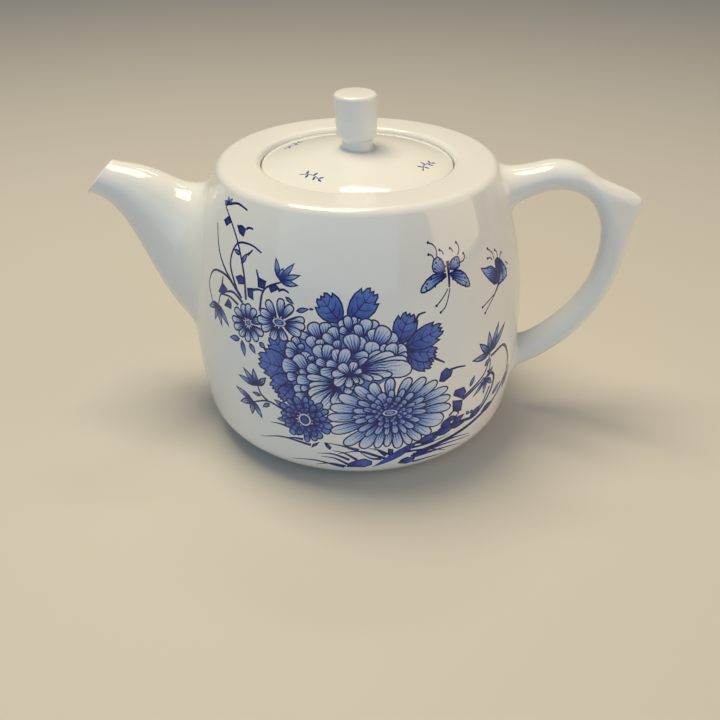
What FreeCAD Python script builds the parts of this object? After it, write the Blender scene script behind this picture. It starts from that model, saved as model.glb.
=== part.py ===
import FreeCAD, Part
import os

import Sketcher

# A porcelain teapot: a tapering barrel body with a sunk lid, a short broad
# spout over a ball strainer, and an ear handle with a thumb spur.
# The body's axis is Z, the table is z = 0, the spout points along -X and the
# handle along +X. Lengths are in millimetres and angles in degrees.
SIZES = {
    # barrel of the body
    "belly_radius": 44.2,
    "belly_height": 30.7,
    "side_arc_radius": 110.0,
    "body_height": 73.6,
    "base_round": 9.4,
    "shoulder_round": 2.6,
    "body_wall": 3.0,
    "floor_thickness": 3.4,
    "ceiling_round": 2.5,
    # turned foot ring
    "foot_inset": 14.2,
    "foot_width": 3.2,
    "foot_height": 1.2,
    "foot_recess": 2.2,
    # gallery that the lid sinks into, and the mouth below it
    "gallery_radius": 24.8,
    "gallery_depth": 4.0,
    "gallery_round": 0.8,
    "mouth_radius": 21.0,
    "ledge_thickness": 3.0,
    # lid
    "lid_clearance": 0.35,
    "lid_edge": 2.3,
    "lid_edge_round": 0.9,
    "lid_rise": 4.4,
    "lid_thickness": 2.8,
    "flange_depth": 6.0,
    "flange_wall": 2.6,
    "vent_radius": 1.3,
    "vent_offset": 11.5,
    # knob on the lid
    "knob_foot_radius": 4.6,
    "knob_neck_radius": 3.5,
    "knob_neck_height": 1.7,
    "knob_base_radius": 5.1,
    "knob_base_height": 4.4,
    "knob_radius": 5.6,
    "knob_height": 13.9,
    "knob_round": 0.9,
    # port through the wall and the strainer over it
    "port_radius": 9.0,
    "strainer_radius": 12.0,
    "strainer_wall": 2.2,
    "strainer_hole_radius": 1.2,
    # spout: a loft from its mouth to a root inside the body
    "spout_reach": 23.8,
    "spout_depth": 10.0,
    "spout_tip_drop": 6.7,
    "spout_root_drop": 27.7,
    "spout_sway": 2.5,
    "spout_tip_tilt": 49.7,
    "spout_root_tilt": 72.0,
    "spout_tip_tall": 10.7,
    "spout_tip_slim": 0.8,
    "spout_root_tall": 46.3,
    "spout_root_slim": 6.5,
    "spout_flare": 1.71,
    "spout_turn": 3.0,
    "spout_lip": 1.7,
    "spout_wall": 3.0,
    # handle: an arch, a longer grip arc and two flared roots
    "handle_reach": 23.0,
    "handle_arch_inside": 11.75,
    "handle_arch_drop": 18.7,
    "handle_foot_rise": 18.9,
    "handle_flat": 2.2,
    "handle_arch_thick": 7.7,
    "handle_brow_thick": 5.8,
    "handle_corner_thick": 7.0,
    "handle_grip_thick": 6.1,
    "handle_foot_thick": 6.9,
    "handle_root_thick": 13.4,
    "handle_root_length": 16.0,
    "handle_low_thick": 10.7,
    "handle_low_depth": 6.2,
    "handle_low_step": 5.4,
    # thumb spur on the handle's shoulder
    "spur_angle": 23.3,
    "spur_length": 9.7,
    "spur_sink": 4.0,
    "spur_half": 12.8,
    "spur_slim": 9.0,
    "spur_tip_radius": 1.8,
}

# Where the lofts have their sections, as shares of a length or as angles
# round the handle's two arcs, and how fast the flares grow.
SPOUT_STATIONS = (0.0, 0.18, 0.36, 0.54, 0.72, 0.86, 1.0)
ROOT_STATIONS = (1.0, 0.5)
ROOT_FLARE = 1.6
ARCH_STATIONS = (107.5, 80.0, 55.0, 30.0, 0.0)
BROW_ANGLE = 55.0
BROW_FALL = 2.0
GRIP_STATIONS = (-16.0, -32.5, -49.0, -65.0)
LOW_ROOT_TILT = -76.0
SPUR_STATIONS = (0.0, 0.35, 0.7, 1.0)
SPUR_FLARE = 1.3

# Rings of holes in the strainer: angle from the port's axis, and count. No
# hole lies on the upright plane through the axis.
STRAINER_RINGS = ((12.0, 2), (34.0, 6), (62.0, 12))

Z_AXIS = FreeCAD.Vector(0, 0, 1)
NO_TURN = "rotation(vector(0; 0; 1); 0)"
CUT_MARGIN = 5.0
HOLE_MARGIN = 2.0
MATCH_TOLERANCE = 1e-3

doc = FreeCAD.newDocument("teapot")
sheet = doc.addObject("Spreadsheet::Sheet", "dims")
for row, (alias, size) in enumerate(SIZES.items(), start=1):
    sheet.set(f"A{row}", alias)
    sheet.set(f"B{row}", str(size))
    sheet.setAlias(f"B{row}", alias)
doc.recompute()


def value(expression):
    """The number that an expression on the sheet has now."""
    return float(sheet.evalExpression(expression))


def bind(item, **expressions):
    """Tie an object's properties to the sheet."""
    for name, expression in expressions.items():
        item.setExpression(name, expression)
    return item


def place(item, x, z, tilt="0", quarter="0"):
    """Tie a placement to the sheet: a point in the XZ plane, a tilt up from +X."""
    turn = f"rotation(vector(0; -1; 0); {tilt}) * rotation(vector(0; 0; 1); {quarter})"
    return bind(item, Placement=f"placement(vector({x}; 0; {z}); {turn})")


def origin_plane(body, role):
    """One of a body's own origin planes."""
    return next(plane for plane in body.Origin.OriginFeatures if plane.Role == role)


def hold(sketch, geometry, end, axis, expression):
    """Tie one coordinate of a sketch point, measured from the sketch's origin."""
    size = value(expression)
    if abs(size) < MATCH_TOLERANCE:
        other_axis = -2 if axis == "X" else -1
        sketch.addConstraint(Sketcher.Constraint("PointOnObject", geometry, end, other_axis))
        return
    index = sketch.addConstraint(Sketcher.Constraint("Distance" + axis, -1, 1, geometry, end, size))
    sketch.setExpression(f"Constraints[{index}]", expression)


def arc_through(start, end, radius, side):
    """An arc from start to end whose centre lies to one side of the way."""
    chord = end - start
    height = (radius ** 2 - (chord.Length / 2) ** 2) ** 0.5
    across = FreeCAD.Vector(-chord.y, chord.x, 0).normalize()
    centre = (start + end) / 2 + across * (height if side == "left" else -height)
    circle = Part.Circle(centre, Z_AXIS, radius)
    first, last = (start, end) if side == "left" else (end, start)
    return Part.ArcOfCircle(circle, circle.parameter(first), circle.parameter(last))


def turned_profile(body, outline):
    """A closed sketch on the XZ plane: radius along x, height along y.

    An entry of the outline is a corner's x and y. Where an arc leads to the
    corner, the arc's radius and the side of its centre follow.
    """
    sketch = body.newObject("Sketcher::SketchObject", body.Name + "_profile")
    sketch.AttachmentSupport = (origin_plane(body, "XZ_Plane"), [""])
    sketch.MapMode = "FlatFace"
    corners = [FreeCAD.Vector(value(entry[0]), value(entry[1]), 0) for entry in outline]
    ends = []
    for index, entry in enumerate(outline):
        start = corners[index - 1]
        end = corners[index]
        if len(entry) == 2:
            sketch.addGeometry(Part.LineSegment(start, end))
            ends.append((1, 2))
            continue
        radius, side = entry[2:]
        sketch.addGeometry(arc_through(start, end, value(radius), side))
        ends.append((1, 2) if side == "left" else (2, 1))
    for index in range(len(outline)):
        following = (index + 1) % len(outline)
        meeting = (index, ends[index][1], following, ends[following][0])
        sketch.addConstraint(Sketcher.Constraint("Coincident", *meeting))
    for index, entry in enumerate(outline):
        hold(sketch, index, ends[index][1], "X", entry[0])
        hold(sketch, index, ends[index][1], "Y", entry[1])
        if len(entry) > 2:
            radius = sketch.addConstraint(Sketcher.Constraint("Radius", index, value(entry[2])))
            sketch.setExpression(f"Constraints[{radius}]", entry[2])
    return sketch


def turned_body(name, outline):
    """A body of revolution about Z."""
    body = doc.addObject("PartDesign::Body", name)
    sketch = turned_profile(body, outline)
    turned = body.newObject("PartDesign::Revolution", name + "_turned")
    turned.Profile = sketch
    turned.ReferenceAxis = (sketch, ["V_Axis"])
    turned.Angle = 360
    doc.recompute()
    return body


def round_edge(body, name, size, radius, height):
    """Round the circular edge of a body that has this radius at this height."""
    tip = body.Tip
    edges = []
    for index, edge in enumerate(tip.Shape.Edges, start=1):
        if edge.Degenerated or not isinstance(edge.Curve, Part.Circle):
            continue
        radius_gap = abs(edge.Curve.Radius - value(radius))
        height_gap = abs(edge.Curve.Center.z - value(height))
        if max(radius_gap, height_gap) < MATCH_TOLERANCE:
            edges.append(f"Edge{index}")
    fillet = body.newObject("PartDesign::Fillet", name)
    fillet.Base = (tip, edges)
    bind(fillet, Radius=size)
    doc.recompute()


def section(name, x, z, tilt, half_tall, half_wide, quarter="0"):
    """A loft's elliptical section, its plane through Y, its long axis tilted up from +X.

    With a quarter turn of 90 the long axis lies along Y instead.
    """
    ellipse = doc.addObject("Part::Ellipse", name)
    place(ellipse, x, z, tilt, quarter)
    return bind(ellipse, MajorRadius=half_tall, MinorRadius=half_wide)


def loft(name, sections):
    """A smooth solid through a row of sections."""
    solid = doc.addObject("Part::Loft", name)
    solid.Sections = sections
    solid.Solid = True
    return solid


def combine(kind, name, base, tool):
    """A boolean of two objects, Part::Cut or Part::Common."""
    result = doc.addObject(kind, name)
    result.Base = base
    result.Tool = tool
    return result


def fuse(name, shapes):
    """One solid of several that run into each other."""
    result = doc.addObject("Part::MultiFuse", name)
    result.Shapes = shapes
    return result


# Heights and radii that several pieces share.
LID_SEAT = "(dims.body_height - dims.gallery_depth)"
CEILING = f"({LID_SEAT} - dims.ledge_thickness)"
FLOOR = "(dims.foot_recess + dims.floor_thickness)"
SPOUT_ROOT = "(dims.body_height - dims.spout_root_drop)"
OUTER_ARC = "dims.side_arc_radius"
INNER_ARC = "(dims.side_arc_radius - dims.body_wall)"
LID_RADIUS = "(dims.gallery_radius - dims.lid_clearance)"
FLANGE_RADIUS = "(dims.mouth_radius - dims.lid_clearance)"
LID_EDGE_TOP = f"({LID_SEAT} + dims.lid_edge)"
DOME_RADIUS = f"(({LID_RADIUS}^2 + dims.lid_rise^2) / (2 * dims.lid_rise))"
DOME_CENTRE = f"({LID_EDGE_TOP} + dims.lid_rise - {DOME_RADIUS})"
KNOB_SEAT = f"({DOME_CENTRE} + sqrt({DOME_RADIUS}^2 - dims.knob_foot_radius^2))"


def side_radius(arc, height):
    """The radius of the barrel at a height, on its outer or inner arc."""
    centre = "(dims.belly_radius - dims.side_arc_radius)"
    return f"({centre} + sqrt({arc}^2 - ({height} - dims.belly_height)^2))"


def make_pot_form():
    """The outer form of the body, filled, as a mould would hold it."""
    foot_outside = "(dims.belly_radius - dims.foot_inset)"
    foot_inside = f"({foot_outside} - dims.foot_width)"
    base_edge = side_radius(OUTER_ARC, "dims.foot_height")
    top_edge = side_radius(OUTER_ARC, "dims.body_height")
    body = turned_body("pot_form", [
        ("0", "dims.foot_recess"),
        (foot_inside, "dims.foot_recess"),
        (foot_inside, "0"),
        (foot_outside, "0"),
        (foot_outside, "dims.foot_height"),
        (base_edge, "dims.foot_height"),
        (top_edge, "dims.body_height", OUTER_ARC, "left"),
        ("0", "dims.body_height"),
    ])
    round_edge(body, "base_fillet", "dims.base_round", base_edge, "dims.foot_height")
    round_edge(body, "shoulder_fillet", "dims.shoulder_round", top_edge, "dims.body_height")
    return body


def make_pot_cavity():
    """The hollow of the body: tea chamber, mouth and the gallery for the lid."""
    floor_edge = side_radius(INNER_ARC, FLOOR)
    ceiling_edge = side_radius(INNER_ARC, CEILING)
    rim = "dims.gallery_radius + dims.gallery_round"
    above = f"dims.body_height + {CUT_MARGIN}"
    body = turned_body("pot_cavity", [
        ("0", FLOOR),
        (floor_edge, FLOOR),
        (ceiling_edge, CEILING, INNER_ARC, "left"),
        ("dims.mouth_radius", CEILING),
        ("dims.mouth_radius", LID_SEAT),
        ("dims.gallery_radius", LID_SEAT),
        ("dims.gallery_radius", "dims.body_height - dims.gallery_round"),
        (rim, "dims.body_height", "dims.gallery_round", "right"),
        (rim, above),
        ("0", above),
    ])
    round_edge(body, "floor_fillet", "dims.base_round - dims.body_wall", floor_edge, FLOOR)
    round_edge(body, "ceiling_fillet", "dims.ceiling_round", ceiling_edge, CEILING)
    return body


def make_pot_body(form, cavity):
    """The shell of the pot, with a round port through its wall behind the spout."""
    port = doc.addObject("Part::Cylinder", "port")
    bind(port, Radius="dims.port_radius", Height=f"dims.belly_radius + {CUT_MARGIN}")
    bind(port, Placement=f"placement(vector(0; 0; {SPOUT_ROOT}); rotation(vector(0; 1; 0); -90))")
    shell = combine("Part::Cut", "pot_shell", form, cavity)
    return combine("Part::Cut", "pot_body", shell, port)


def make_strainer():
    """A pierced dome luted over the port, its rim ground to a cone that fits the wall."""
    centre = (f"-{side_radius(INNER_ARC, SPOUT_ROOT)}", SPOUT_ROOT)
    outside = doc.addObject("Part::Sphere", "strainer_outside")
    inside = doc.addObject("Part::Sphere", "strainer_inside")
    place(bind(outside, Radius="dims.strainer_radius"), *centre)
    place(bind(inside, Radius="dims.strainer_radius - dims.strainer_wall"), *centre)
    hole_start = f"(dims.strainer_radius - dims.strainer_wall - {HOLE_MARGIN})"
    hole_length = f"dims.strainer_wall + 2 * {HOLE_MARGIN}"
    holes = []
    for lean, count in STRAINER_RINGS:
        for index in range(count):
            hole = doc.addObject("Part::Cylinder", "strainer_hole")
            bind(hole, Radius="dims.strainer_hole_radius", Height=hole_length)
            spin = f"rotation(vector(1; 0; 0); {360 * (index + 0.5) / count})"
            aim = f"{spin} * rotation(vector(0; 1; 0); {90 - lean})"
            middle = f"placement(vector({centre[0]}; 0; {centre[1]}); {aim})"
            bind(hole, Placement=f"{middle} * placement(vector(0; 0; {hole_start}); {NO_TURN})")
            holes.append(hole)
    low = f"({SPOUT_ROOT} - dims.strainer_radius)"
    high = f"({SPOUT_ROOT} + dims.strainer_radius)"
    wall = doc.addObject("Part::Cone", "strainer_wall_fit")
    bind(wall, Radius1=side_radius(INNER_ARC, low), Radius2=side_radius(INNER_ARC, high))
    place(bind(wall, Height="2 * dims.strainer_radius"), "0", low)
    shell = combine("Part::Cut", "strainer_shell", outside, inside)
    dome = combine("Part::Common", "strainer_dome", shell, wall)
    return combine("Part::Cut", "strainer", dome, fuse("strainer_holes", holes))


def make_spout(form):
    """A broad cone drawn out to a slanted lip, hollow down to the body's wall."""
    tip = "(dims.body_height - dims.spout_tip_drop)"
    tip_wide = "(dims.spout_tip_tall - dims.spout_tip_slim)"
    root_wide = "(dims.spout_root_tall - dims.spout_root_slim)"
    outside = []
    bore = []
    for index, share in enumerate(SPOUT_STATIONS):
        swell = f"{share}^dims.spout_flare"
        x = f"-dims.belly_radius - dims.spout_reach + (dims.spout_reach + dims.spout_depth) * {share}"
        z = f"{tip} + ({SPOUT_ROOT} - {tip}) * {share} + dims.spout_sway * sin({360 * share})"
        swing = f"(dims.spout_root_tilt - dims.spout_tip_tilt) * {share}^dims.spout_turn"
        tilt = f"dims.spout_tip_tilt + {swing}"
        tall = f"(dims.spout_tip_tall + (dims.spout_root_tall - dims.spout_tip_tall) * {swell}) / 2"
        wide = f"({tip_wide} + ({root_wide} - {tip_wide}) * {swell}) / 2"
        wall = f"(dims.spout_lip + (dims.spout_wall - dims.spout_lip) * {share})"
        outside.append(section(f"spout_outside_{index}", x, z, tilt, tall, wide))
        bore.append(section(f"spout_bore_{index}", x, z, tilt, f"{tall} - {wall}", f"{wide} - {wall}"))
    shell = combine("Part::Cut", "spout_shell", loft("spout_outside", outside), loft("spout_bore", bore))
    return combine("Part::Cut", "spout", shell, form)


def make_handle(form):
    """An ear of oval section with flared roots and a thumb spur at its shoulder."""
    arch_z = "(dims.body_height - dims.handle_arch_drop)"
    corner_x = "(dims.belly_radius + dims.handle_reach)"
    corner = "(dims.handle_arch_inside + dims.handle_corner_thick / 2)"
    arch_x = f"({corner_x} - {corner})"
    grip_end = GRIP_STATIONS[-1]
    grip = f"(({arch_z} - dims.handle_foot_rise) / sin({-grip_end}))"
    sections = []

    def add(x, z, tilt, thick):
        wide = f"({thick} + dims.handle_flat) / 2"
        name = f"handle_section_{len(sections)}"
        sections.append(section(name, x, z, f"{tilt}", wide, f"({thick}) / 2", quarter="90"))

    def arch_thick(angle):
        """Thickness round the arch: thinner from the root to the brow, then thicker to the corner."""
        if angle > BROW_ANGLE:
            first, last = "dims.handle_arch_thick", "dims.handle_brow_thick"
            share = ((start - angle) / (start - BROW_ANGLE)) ** BROW_FALL
        else:
            first, last = "dims.handle_brow_thick", "dims.handle_corner_thick"
            share = 1 - angle / BROW_ANGLE
        return f"({first} + ({last} - {first}) * {share})"

    start = ARCH_STATIONS[0]
    root = "(dims.handle_arch_inside + dims.handle_arch_thick / 2)"
    for share in ROOT_STATIONS:
        x = f"{arch_x} + {root} * cos({start}) - dims.handle_root_length * {share} * sin({start})"
        z = f"{arch_z} + {root} * sin({start}) + dims.handle_root_length * {share} * cos({start})"
        flare = f"(dims.handle_root_thick - dims.handle_arch_thick) * {share ** ROOT_FLARE}"
        add(x, z, start, f"dims.handle_arch_thick + {flare}")
    for angle in ARCH_STATIONS:
        thick = arch_thick(angle)
        radius = f"(dims.handle_arch_inside + {thick} / 2)"
        add(f"{arch_x} + {radius} * cos({angle})", f"{arch_z} + {radius} * sin({angle})", angle, thick)
    for index, angle in enumerate(GRIP_STATIONS):
        x = f"{corner_x} - {grip} + {grip} * cos({angle})"
        share = index / (len(GRIP_STATIONS) - 1)
        fall = f"(dims.handle_foot_thick - dims.handle_grip_thick) * {share}"
        add(x, f"{arch_z} + {grip} * sin({angle})", angle, f"dims.handle_grip_thick + {fall}")
    low_x = "dims.belly_radius - dims.handle_low_depth"
    low_z = "dims.handle_foot_rise - dims.handle_low_step"
    add(low_x, low_z, LOW_ROOT_TILT, "dims.handle_low_thick")

    spur = []
    tip = "dims.spur_tip_radius"
    for index, share in enumerate(SPUR_STATIONS):
        out = f"({corner} - dims.spur_sink + dims.spur_length * {share})"
        x = f"{arch_x} + {out} * cos(dims.spur_angle)"
        z = f"{arch_z} + {out} * sin(dims.spur_angle)"
        half = f"{tip} + (dims.spur_half - {tip}) * {(1 - share) ** SPUR_FLARE}"
        slim = f"{tip} + (dims.spur_half - dims.spur_slim - {tip}) * {1 - share}"
        spur.append(section(f"spur_section_{index}", x, z, "dims.spur_angle + 90", half, slim))
    nose = doc.addObject("Part::Sphere", "spur_nose")
    place(bind(nose, Radius=tip), x, z)
    ear = fuse("handle_ear", [loft("handle_loop", sections), loft("handle_spur", spur), nose])
    return combine("Part::Cut", "handle", ear, form)


def make_lid():
    """A domed disc with a locating flange under it and a vent hole behind the knob."""
    under_dome = f"({DOME_RADIUS} - dims.lid_thickness)"
    flange_inside = f"({FLANGE_RADIUS} - dims.flange_wall)"
    flange_end = f"{LID_SEAT} - dims.flange_depth"
    body = turned_body("lid", [
        ("0", f"{DOME_CENTRE} + {under_dome}"),
        (flange_inside, f"{DOME_CENTRE} + sqrt({under_dome}^2 - {flange_inside}^2)", under_dome, "right"),
        (flange_inside, flange_end),
        (FLANGE_RADIUS, flange_end),
        (FLANGE_RADIUS, LID_SEAT),
        (LID_RADIUS, LID_SEAT),
        (LID_RADIUS, LID_EDGE_TOP),
        ("dims.knob_foot_radius", KNOB_SEAT, DOME_RADIUS, "left"),
        ("0", KNOB_SEAT),
    ])
    round_edge(body, "lid_edge_fillet", "dims.lid_edge_round", LID_RADIUS, LID_EDGE_TOP)
    whole = body.Shape.Volume
    sketch = body.newObject("Sketcher::SketchObject", "vent_circle")
    sketch.AttachmentSupport = (origin_plane(body, "XY_Plane"), [""])
    sketch.MapMode = "FlatFace"
    centre = FreeCAD.Vector(0, value("dims.vent_offset"), 0)
    sketch.addGeometry(Part.Circle(centre, Z_AXIS, value("dims.vent_radius")))
    hold(sketch, 0, 3, "X", "0")
    hold(sketch, 0, 3, "Y", "dims.vent_offset")
    radius = sketch.addConstraint(Sketcher.Constraint("Radius", 0, value("dims.vent_radius")))
    sketch.setExpression(f"Constraints[{radius}]", "dims.vent_radius")
    vent = body.newObject("PartDesign::Pocket", "vent")
    vent.Profile = sketch
    vent.Type = "ThroughAll"
    vent.Reversed = True
    doc.recompute()
    if body.Shape.Volume >= whole:
        raise RuntimeError("the vent cuts nothing out of the lid")
    return body


def make_lid_knob():
    """A button a little wider at its top, on a narrow neck with a flared foot."""
    neck_top = f"{KNOB_SEAT} + dims.knob_neck_height"
    base_top = f"{KNOB_SEAT} + dims.knob_base_height"
    top = f"{KNOB_SEAT} + dims.knob_height"

    def upright_arc(run, rise):
        """The radius of an arc that ends upright after this run and rise."""
        return f"(({run})^2 + ({rise})^2) / (2 * ({run}))"

    foot_arc = upright_arc("dims.knob_foot_radius - dims.knob_neck_radius", "dims.knob_neck_height")
    base_rise = "dims.knob_base_height - dims.knob_neck_height"
    base_arc = upright_arc("dims.knob_base_radius - dims.knob_neck_radius", base_rise)
    body = turned_body("lid_knob", [
        ("0", KNOB_SEAT),
        ("dims.knob_foot_radius", KNOB_SEAT),
        ("dims.knob_neck_radius", neck_top, foot_arc, "right"),
        ("dims.knob_base_radius", base_top, base_arc, "left"),
        ("dims.knob_radius", top),
        ("0", top),
    ])
    round_edge(body, "knob_fillet", "dims.knob_round", "dims.knob_radius", top)
    return body


pot_form = make_pot_form()
pot_cavity = make_pot_cavity()
sub_parts = [
    make_pot_body(pot_form, pot_cavity),
    make_strainer(),
    make_spout(pot_form),
    make_handle(pot_form),
    make_lid(),
    make_lid_knob(),
]
doc.recompute()

for item in doc.Objects:
    if "Invalid" in item.State or "Error" in item.State:
        raise RuntimeError(f"{item.Label} did not compute: {item.State}")
for item in sub_parts:
    if item.Shape.isNull() or not item.Shape.isValid() or len(item.Shape.Solids) != 1:
        raise RuntimeError(f"{item.Label} is not one valid solid")

os.makedirs("parts", exist_ok=True)
for item in sub_parts:
    item.Shape.exportStep(f"parts/{item.Label}.step")
    box = item.Shape.BoundBox
    print(f"{item.Label}: {len(item.Shape.Solids)} solid, {item.Shape.Volume / 1000:.2f} cm3, "
          f"x {box.XMin:.1f}..{box.XMax:.1f}  y {box.YMin:.1f}..{box.YMax:.1f}  "
          f"z {box.ZMin:.1f}..{box.ZMax:.1f}")
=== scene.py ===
# %% [markdown]
# This lesson dresses a small porcelain teapot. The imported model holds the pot
# at its real size: a barrel body, a spout over a strainer, an ear handle and a
# lid with a knob. The script keeps that frame as it is and gives every clay
# piece a smooth skin, cobalt painting and a glossy glaze.

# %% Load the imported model
import cmath
import math
import random
from collections import namedtuple

import bmesh
import bpy
from mathutils import Matrix, Vector
from mathutils.geometry import delaunay_2d_cdt


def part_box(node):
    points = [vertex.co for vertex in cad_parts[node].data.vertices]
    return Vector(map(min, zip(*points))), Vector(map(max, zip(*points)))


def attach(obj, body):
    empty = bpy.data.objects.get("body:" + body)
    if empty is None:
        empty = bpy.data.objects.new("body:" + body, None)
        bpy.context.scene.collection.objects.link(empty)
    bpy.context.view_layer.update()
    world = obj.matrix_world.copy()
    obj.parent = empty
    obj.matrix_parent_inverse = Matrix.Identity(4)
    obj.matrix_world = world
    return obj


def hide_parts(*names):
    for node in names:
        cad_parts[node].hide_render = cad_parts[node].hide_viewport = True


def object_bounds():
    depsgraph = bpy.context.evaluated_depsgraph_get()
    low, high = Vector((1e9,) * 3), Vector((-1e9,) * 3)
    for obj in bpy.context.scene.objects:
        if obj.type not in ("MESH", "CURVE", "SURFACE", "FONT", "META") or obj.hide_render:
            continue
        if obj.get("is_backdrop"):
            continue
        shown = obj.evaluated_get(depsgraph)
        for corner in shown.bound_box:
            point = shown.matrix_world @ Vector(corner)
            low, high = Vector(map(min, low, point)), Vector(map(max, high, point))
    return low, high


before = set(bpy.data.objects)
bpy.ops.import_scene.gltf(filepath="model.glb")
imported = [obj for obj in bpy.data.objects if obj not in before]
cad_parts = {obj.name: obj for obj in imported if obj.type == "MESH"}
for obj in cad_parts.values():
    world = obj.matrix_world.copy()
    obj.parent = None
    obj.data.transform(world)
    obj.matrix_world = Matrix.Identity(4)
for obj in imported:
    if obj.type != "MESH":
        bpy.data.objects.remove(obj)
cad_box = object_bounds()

# %% [markdown]
# The pot is a turned form, so its shape is one outline that goes round an axis.
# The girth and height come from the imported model. The other sizes are the
# potter's: a side that bows on a large arc, a rounded base and a small shoulder.
# The outline could be drawn point by point, but arcs from centres keep it exact.

# %% Sizes of the body
MM = 0.001
pot_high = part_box("pot_body")[1]
BELLY = pot_high.x
POT_TOP = pot_high.z
BELLY_HEIGHT = 30.7 * MM
SIDE_ARC = 110.0 * MM
BASE_ROUND = 9.4 * MM
SHOULDER_ROUND = 2.6 * MM
WALL = 3.0 * MM
FOOT_RADIUS = BELLY - 14.2 * MM
FOOT_WIDTH = 3.2 * MM
FOOT_HEIGHT = 1.2 * MM
FOOT_RECESS = 2.2 * MM
FLOOR = FOOT_RECESS + 3.4 * MM
GALLERY_RADIUS = 24.65 * MM
GALLERY_ROUND = 1.4 * MM
MOUTH_RADIUS = 21.0 * MM
SEAT = POT_TOP - 4.0 * MM
CEILING = SEAT - 3.0 * MM
SOFT_EDGE = 0.45 * MM
PORT_RADIUS = 9.0 * MM
PORT_HEIGHT = 45.9 * MM
TURN_STEPS = 192

Arc = namedtuple("Arc", "radius height size")
side_arc = Arc(BELLY - SIDE_ARC, BELLY_HEIGHT, SIDE_ARC)


def arc_inside_side(size, height):
    """A rounding with its centre at this height that touches the side from within."""
    reach = SIDE_ARC - size
    radius = side_arc.radius + math.sqrt(reach ** 2 - (height - BELLY_HEIGHT) ** 2)
    return Arc(radius, height, size)


base_arc = arc_inside_side(BASE_ROUND, FOOT_HEIGHT + BASE_ROUND)
shoulder_arc = arc_inside_side(SHOULDER_ROUND, POT_TOP - SHOULDER_ROUND)


def join_height(arc):
    """The height at which a rounding runs into the side."""
    return BELLY_HEIGHT + (arc.height - BELLY_HEIGHT) * SIDE_ARC / (SIDE_ARC - arc.size)


BASE_JOIN = join_height(base_arc)
SHOULDER_JOIN = join_height(shoulder_arc)


def outer_arc(height):
    """The arc of the outside that lies at this height."""
    if height < BASE_JOIN:
        return base_arc
    if height > SHOULDER_JOIN:
        return shoulder_arc
    return side_arc


def arc_radius(arc, height):
    """How far from the axis an upright arc is at a height."""
    return arc.radius + math.sqrt(max(arc.size ** 2 - (height - arc.height) ** 2, 0.0))


def outer_radius(height):
    """The pot's own radius at a height."""
    return arc_radius(outer_arc(height), height)


print(f"belly {BELLY / MM:.1f} mm, top {POT_TOP / MM:.1f} mm")
print(f"the side runs from {BASE_JOIN / MM:.1f} to {SHOULDER_JOIN / MM:.1f} mm")

# %% [markdown]
# The painting is laid on the unrolled wall, as a painter sees it when the pot
# turns past the brush. A place there is one complex number: millimetres along
# the girth from the middle of the front, plus millimetres of height times 1j.
# Turning a petal is then one multiplication. Every touch of the brush is a
# closed outline with a strength at its foot and another at its tip. The fine
# veins of a petal are left to the glaze, which draws them as a fan from the foot.

# %% Brush touches
Touch = namedtuple("Touch", "outline foot tip deep pale veins")
LINE = 0.4
INK = 0.97
SHARPEST = 0.9
SHORT_WAY = 3.0


def turned_left(outline):
    """The closed outline in the order that keeps its inside on the left."""
    area = sum((a.conjugate() * b).imag for a, b in zip(outline, outline[1:] + outline[:1]))
    return outline if area > 0 else outline[::-1]


def touch(paint, outline, deep, pale=None, foot=0, tip=1, veins=0):
    """Lay one closed shape, as strong as deep at its foot and as pale at its tip."""
    at_tip = deep if pale is None else pale
    paint.append(Touch(turned_left(outline), foot, tip, deep, at_tip, veins))


def drawn_in(outline, distance):
    """The same outline, smaller by a distance all round."""
    places = turned_left(outline)
    smaller = []
    for before, at, after in zip(places[-1:] + places[:-1], places, places[1:] + places[:1]):
        bisector = 1j * ((at - before) / abs(at - before) + (after - at) / abs(after - at))
        length = max(abs(bisector), SHARPEST)
        smaller.append(at + bisector * distance * 2 / length ** 2)
    return smaller


def washed(paint, outline, foot, tip, deep, pale, veins=0, line=LINE):
    """An outlined shape with a wash inside it."""
    touch(paint, outline, INK)
    touch(paint, drawn_in(outline, line), deep, pale, foot, tip, veins)


def blade(foot, tip, width, fullness, bend=0.0):
    """A closed shape from foot to tip; fullness gives its half width at a share of the way."""
    way = tip - foot
    across = 1j * way / abs(way)
    steps = 5 if abs(way) < SHORT_WAY else 7
    right = []
    left = []
    for step in range(1, steps):
        share = math.sin(0.5 * math.pi * step / steps)
        middle = foot + way * share + across * bend * 4 * share * (1 - share)
        half = across * width / 2 * fullness(share)
        right.append(middle - half)
        left.append(middle + half)
    return [foot] + right + [tip] + left[::-1]


def petal_fullness(share):
    """A petal widens from a narrow foot to a round tip."""
    return share ** 0.6 * math.sqrt(1 - share ** 4) / 0.7


def leaf_fullness(share):
    """A leaf is pointed at both ends and fullest near its foot."""
    return math.sin(math.pi * share ** 0.8)


print("brush touches have outlines of", LINE, "mm")


# %% Drawn lines and dots
def curve_through(points, steps):
    """A smooth line through a few places."""
    ends = [2 * points[0] - points[1]] + list(points) + [2 * points[-1] - points[-2]]
    line = []
    for a, b, c, d in zip(ends, ends[1:], ends[2:], ends[3:]):
        for step in range(steps):
            t = step / steps
            bend = (2 * a - 5 * b + 4 * c - d) * t * t + (3 * b - a - 3 * c + d) * t ** 3
            line.append(b + ((c - a) * t + bend) / 2)
    return line + [points[-1]]


STROKE_STEPS = 5
DOT_SIDES = 9


def stroke(paint, points, thick, thin, strength=INK):
    """A drawn line that goes from thick to thin."""
    line = curve_through(points, STROKE_STEPS)
    left = []
    right = []
    for index, place in enumerate(line):
        before = line[max(index - 1, 0)]
        after = line[min(index + 1, len(line) - 1)]
        share = index / (len(line) - 1)
        half = 0.5j * (after - before) / abs(after - before) * (thick + (thin - thick) * share)
        left.append(place + half)
        right.append(place - half)
    touch(paint, left + right[::-1], strength)


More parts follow.
